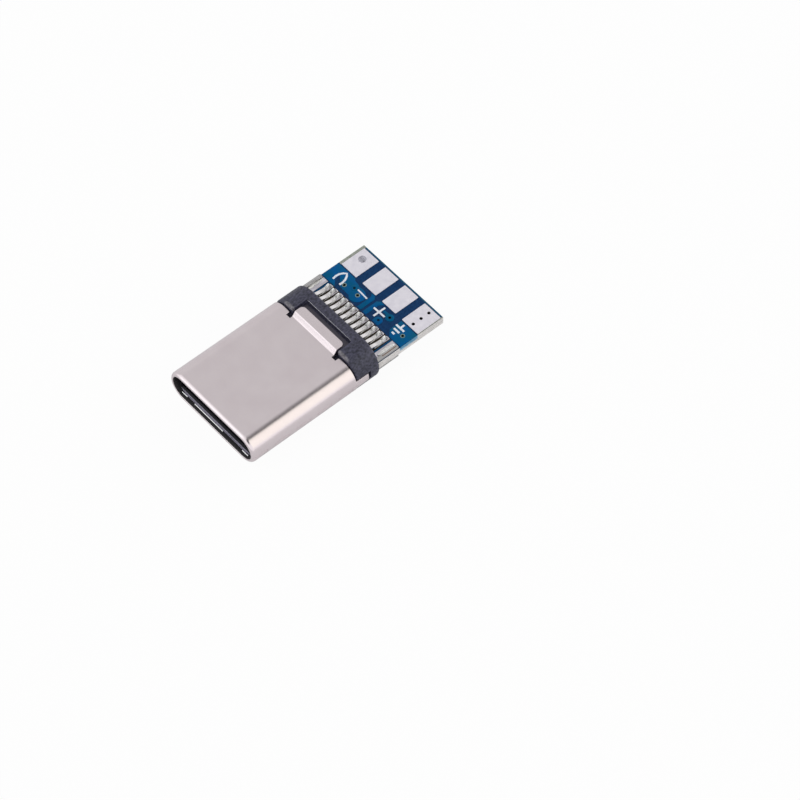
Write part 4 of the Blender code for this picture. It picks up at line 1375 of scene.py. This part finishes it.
PANELS = (
    ((-0.42, 0.42, 0.805), 17.0, 23.0, 0.62),
    ((-0.93, 0.30, 0.20), 30.0, 38.0, 0.66),
)
SLOT = (
    ((0.205, 0.378, 0.903), 5.0, 9.5, 0.10),
    ((0.07, 0.385, 0.920), 5.0, 15.0, 0.30),
    ((0.26, 0.17, 0.950), 8.0, 14.0, 0.04),
    ((0.36, -0.10, 0.928), 11.0, 17.0, 0.04),
    ((0.433, -0.378, 0.818), 12.0, 18.0, 0.08),
)


def tent_patch(tree, direction, towards, inner, outer, level):
    """Return 1 all round and the patch's level within its cone of directions."""
    likeness = add_node(tree, "VectorMath", {0: direction, 1: Vector(towards).normalized()})
    likeness.operation = "DOT_PRODUCT"
    edge, middle = (math.cos(math.radians(angle)) for angle in (outer, inner))
    return spread(tree, likeness.outputs["Value"], 1.0, level, edge, middle)


def make_tent():
    world = bpy.data.worlds.new("light_tent")
    bpy.context.scene.world = world
    world.use_nodes = True
    tree = world.node_tree
    direction = tree.nodes.new("ShaderNodeTexCoord").outputs["Generated"]
    level = spread(tree, split(tree, direction)["Z"], 1.0, 0.85, 0.70, 1.0)
    for patch in PANELS + SLOT:
        level = calculate(tree, "MINIMUM", level, tent_patch(tree, direction, *patch))
    rays = tree.nodes.new("ShaderNodeLightPath")
    shown = calculate(tree, "MAXIMUM", level, rays.outputs["Is Camera Ray"])
    tree.links.new(shown, tree.nodes["Background"].inputs["Color"])
    print("tent patches:", len(PANELS + SLOT))


make_tent()

# %% [markdown]
# Three soft boxes brighten the rounded sides and the mouth. They are area lamps that look at
# the plug from the right, the front and the rear, near enough to give soft edges.

# %% The soft boxes

SOFTBOX_WIDTH = 0.22
SOFTBOX_DISTANCE = 0.45


def add_softbox(name, direction, watts, height, tint):
    """An upright area lamp that looks at the plug from a direction."""
    light = bpy.data.lights.new(name, "AREA")
    light.energy = watts
    light.color = tint
    light.shape = "RECTANGLE"
    light.size = SOFTBOX_WIDTH
    light.size_y = height
    lamp = bpy.data.objects.new(name, light)
    bpy.context.collection.objects.link(lamp)
    towards = Vector(direction).normalized()
    lamp.location = towards * SOFTBOX_DISTANCE
    lamp.rotation_mode = "QUATERNION"
    lamp.rotation_quaternion = towards.to_track_quat("Z", "Y")
    print(name, "watts:", watts)


add_softbox("right_softbox", (0.70, 0.38, 0.60), 0.055, 0.42, (1.0, 0.95, 0.45))
add_softbox("front_softbox", (-0.43, -0.70, 0.48), 0.110, 0.56, (0.88, 1.0, 1.0))
add_softbox("rear_softbox", (0.30, 0.90, 0.30), 0.24, 0.22, (1.0, 1.0, 1.0))

# %% [markdown]
# The camera stands where the photograph's stood, in front of the mouth, to the right and well
# above it. A long lens from some distance keeps the plug's edges nearly parallel.

# %% The camera

CAMERA_PLACE = (0.097135, -0.077177, 0.172449)
CAMERA_LOOKS = Vector((-0.4330, 0.3784, -0.8181))
LENS_MM = 149.45

camera_data = bpy.data.cameras.new("camera")
camera = bpy.data.objects.new("camera", camera_data)
bpy.context.collection.objects.link(camera)
camera.location = CAMERA_PLACE
camera.rotation_mode = "QUATERNION"
camera.rotation_quaternion = CAMERA_LOOKS.to_track_quat("-Z", "Y")
camera_data.sensor_width = 36.0
camera_data.lens = LENS_MM
camera_data.clip_start = 0.01
camera_data.clip_end = 20.0
bpy.context.scene.camera = camera
bpy.context.scene.view_settings.view_transform = "Standard"
print("camera at", CAMERA_PLACE, "with a lens of", LENS_MM, "mm")
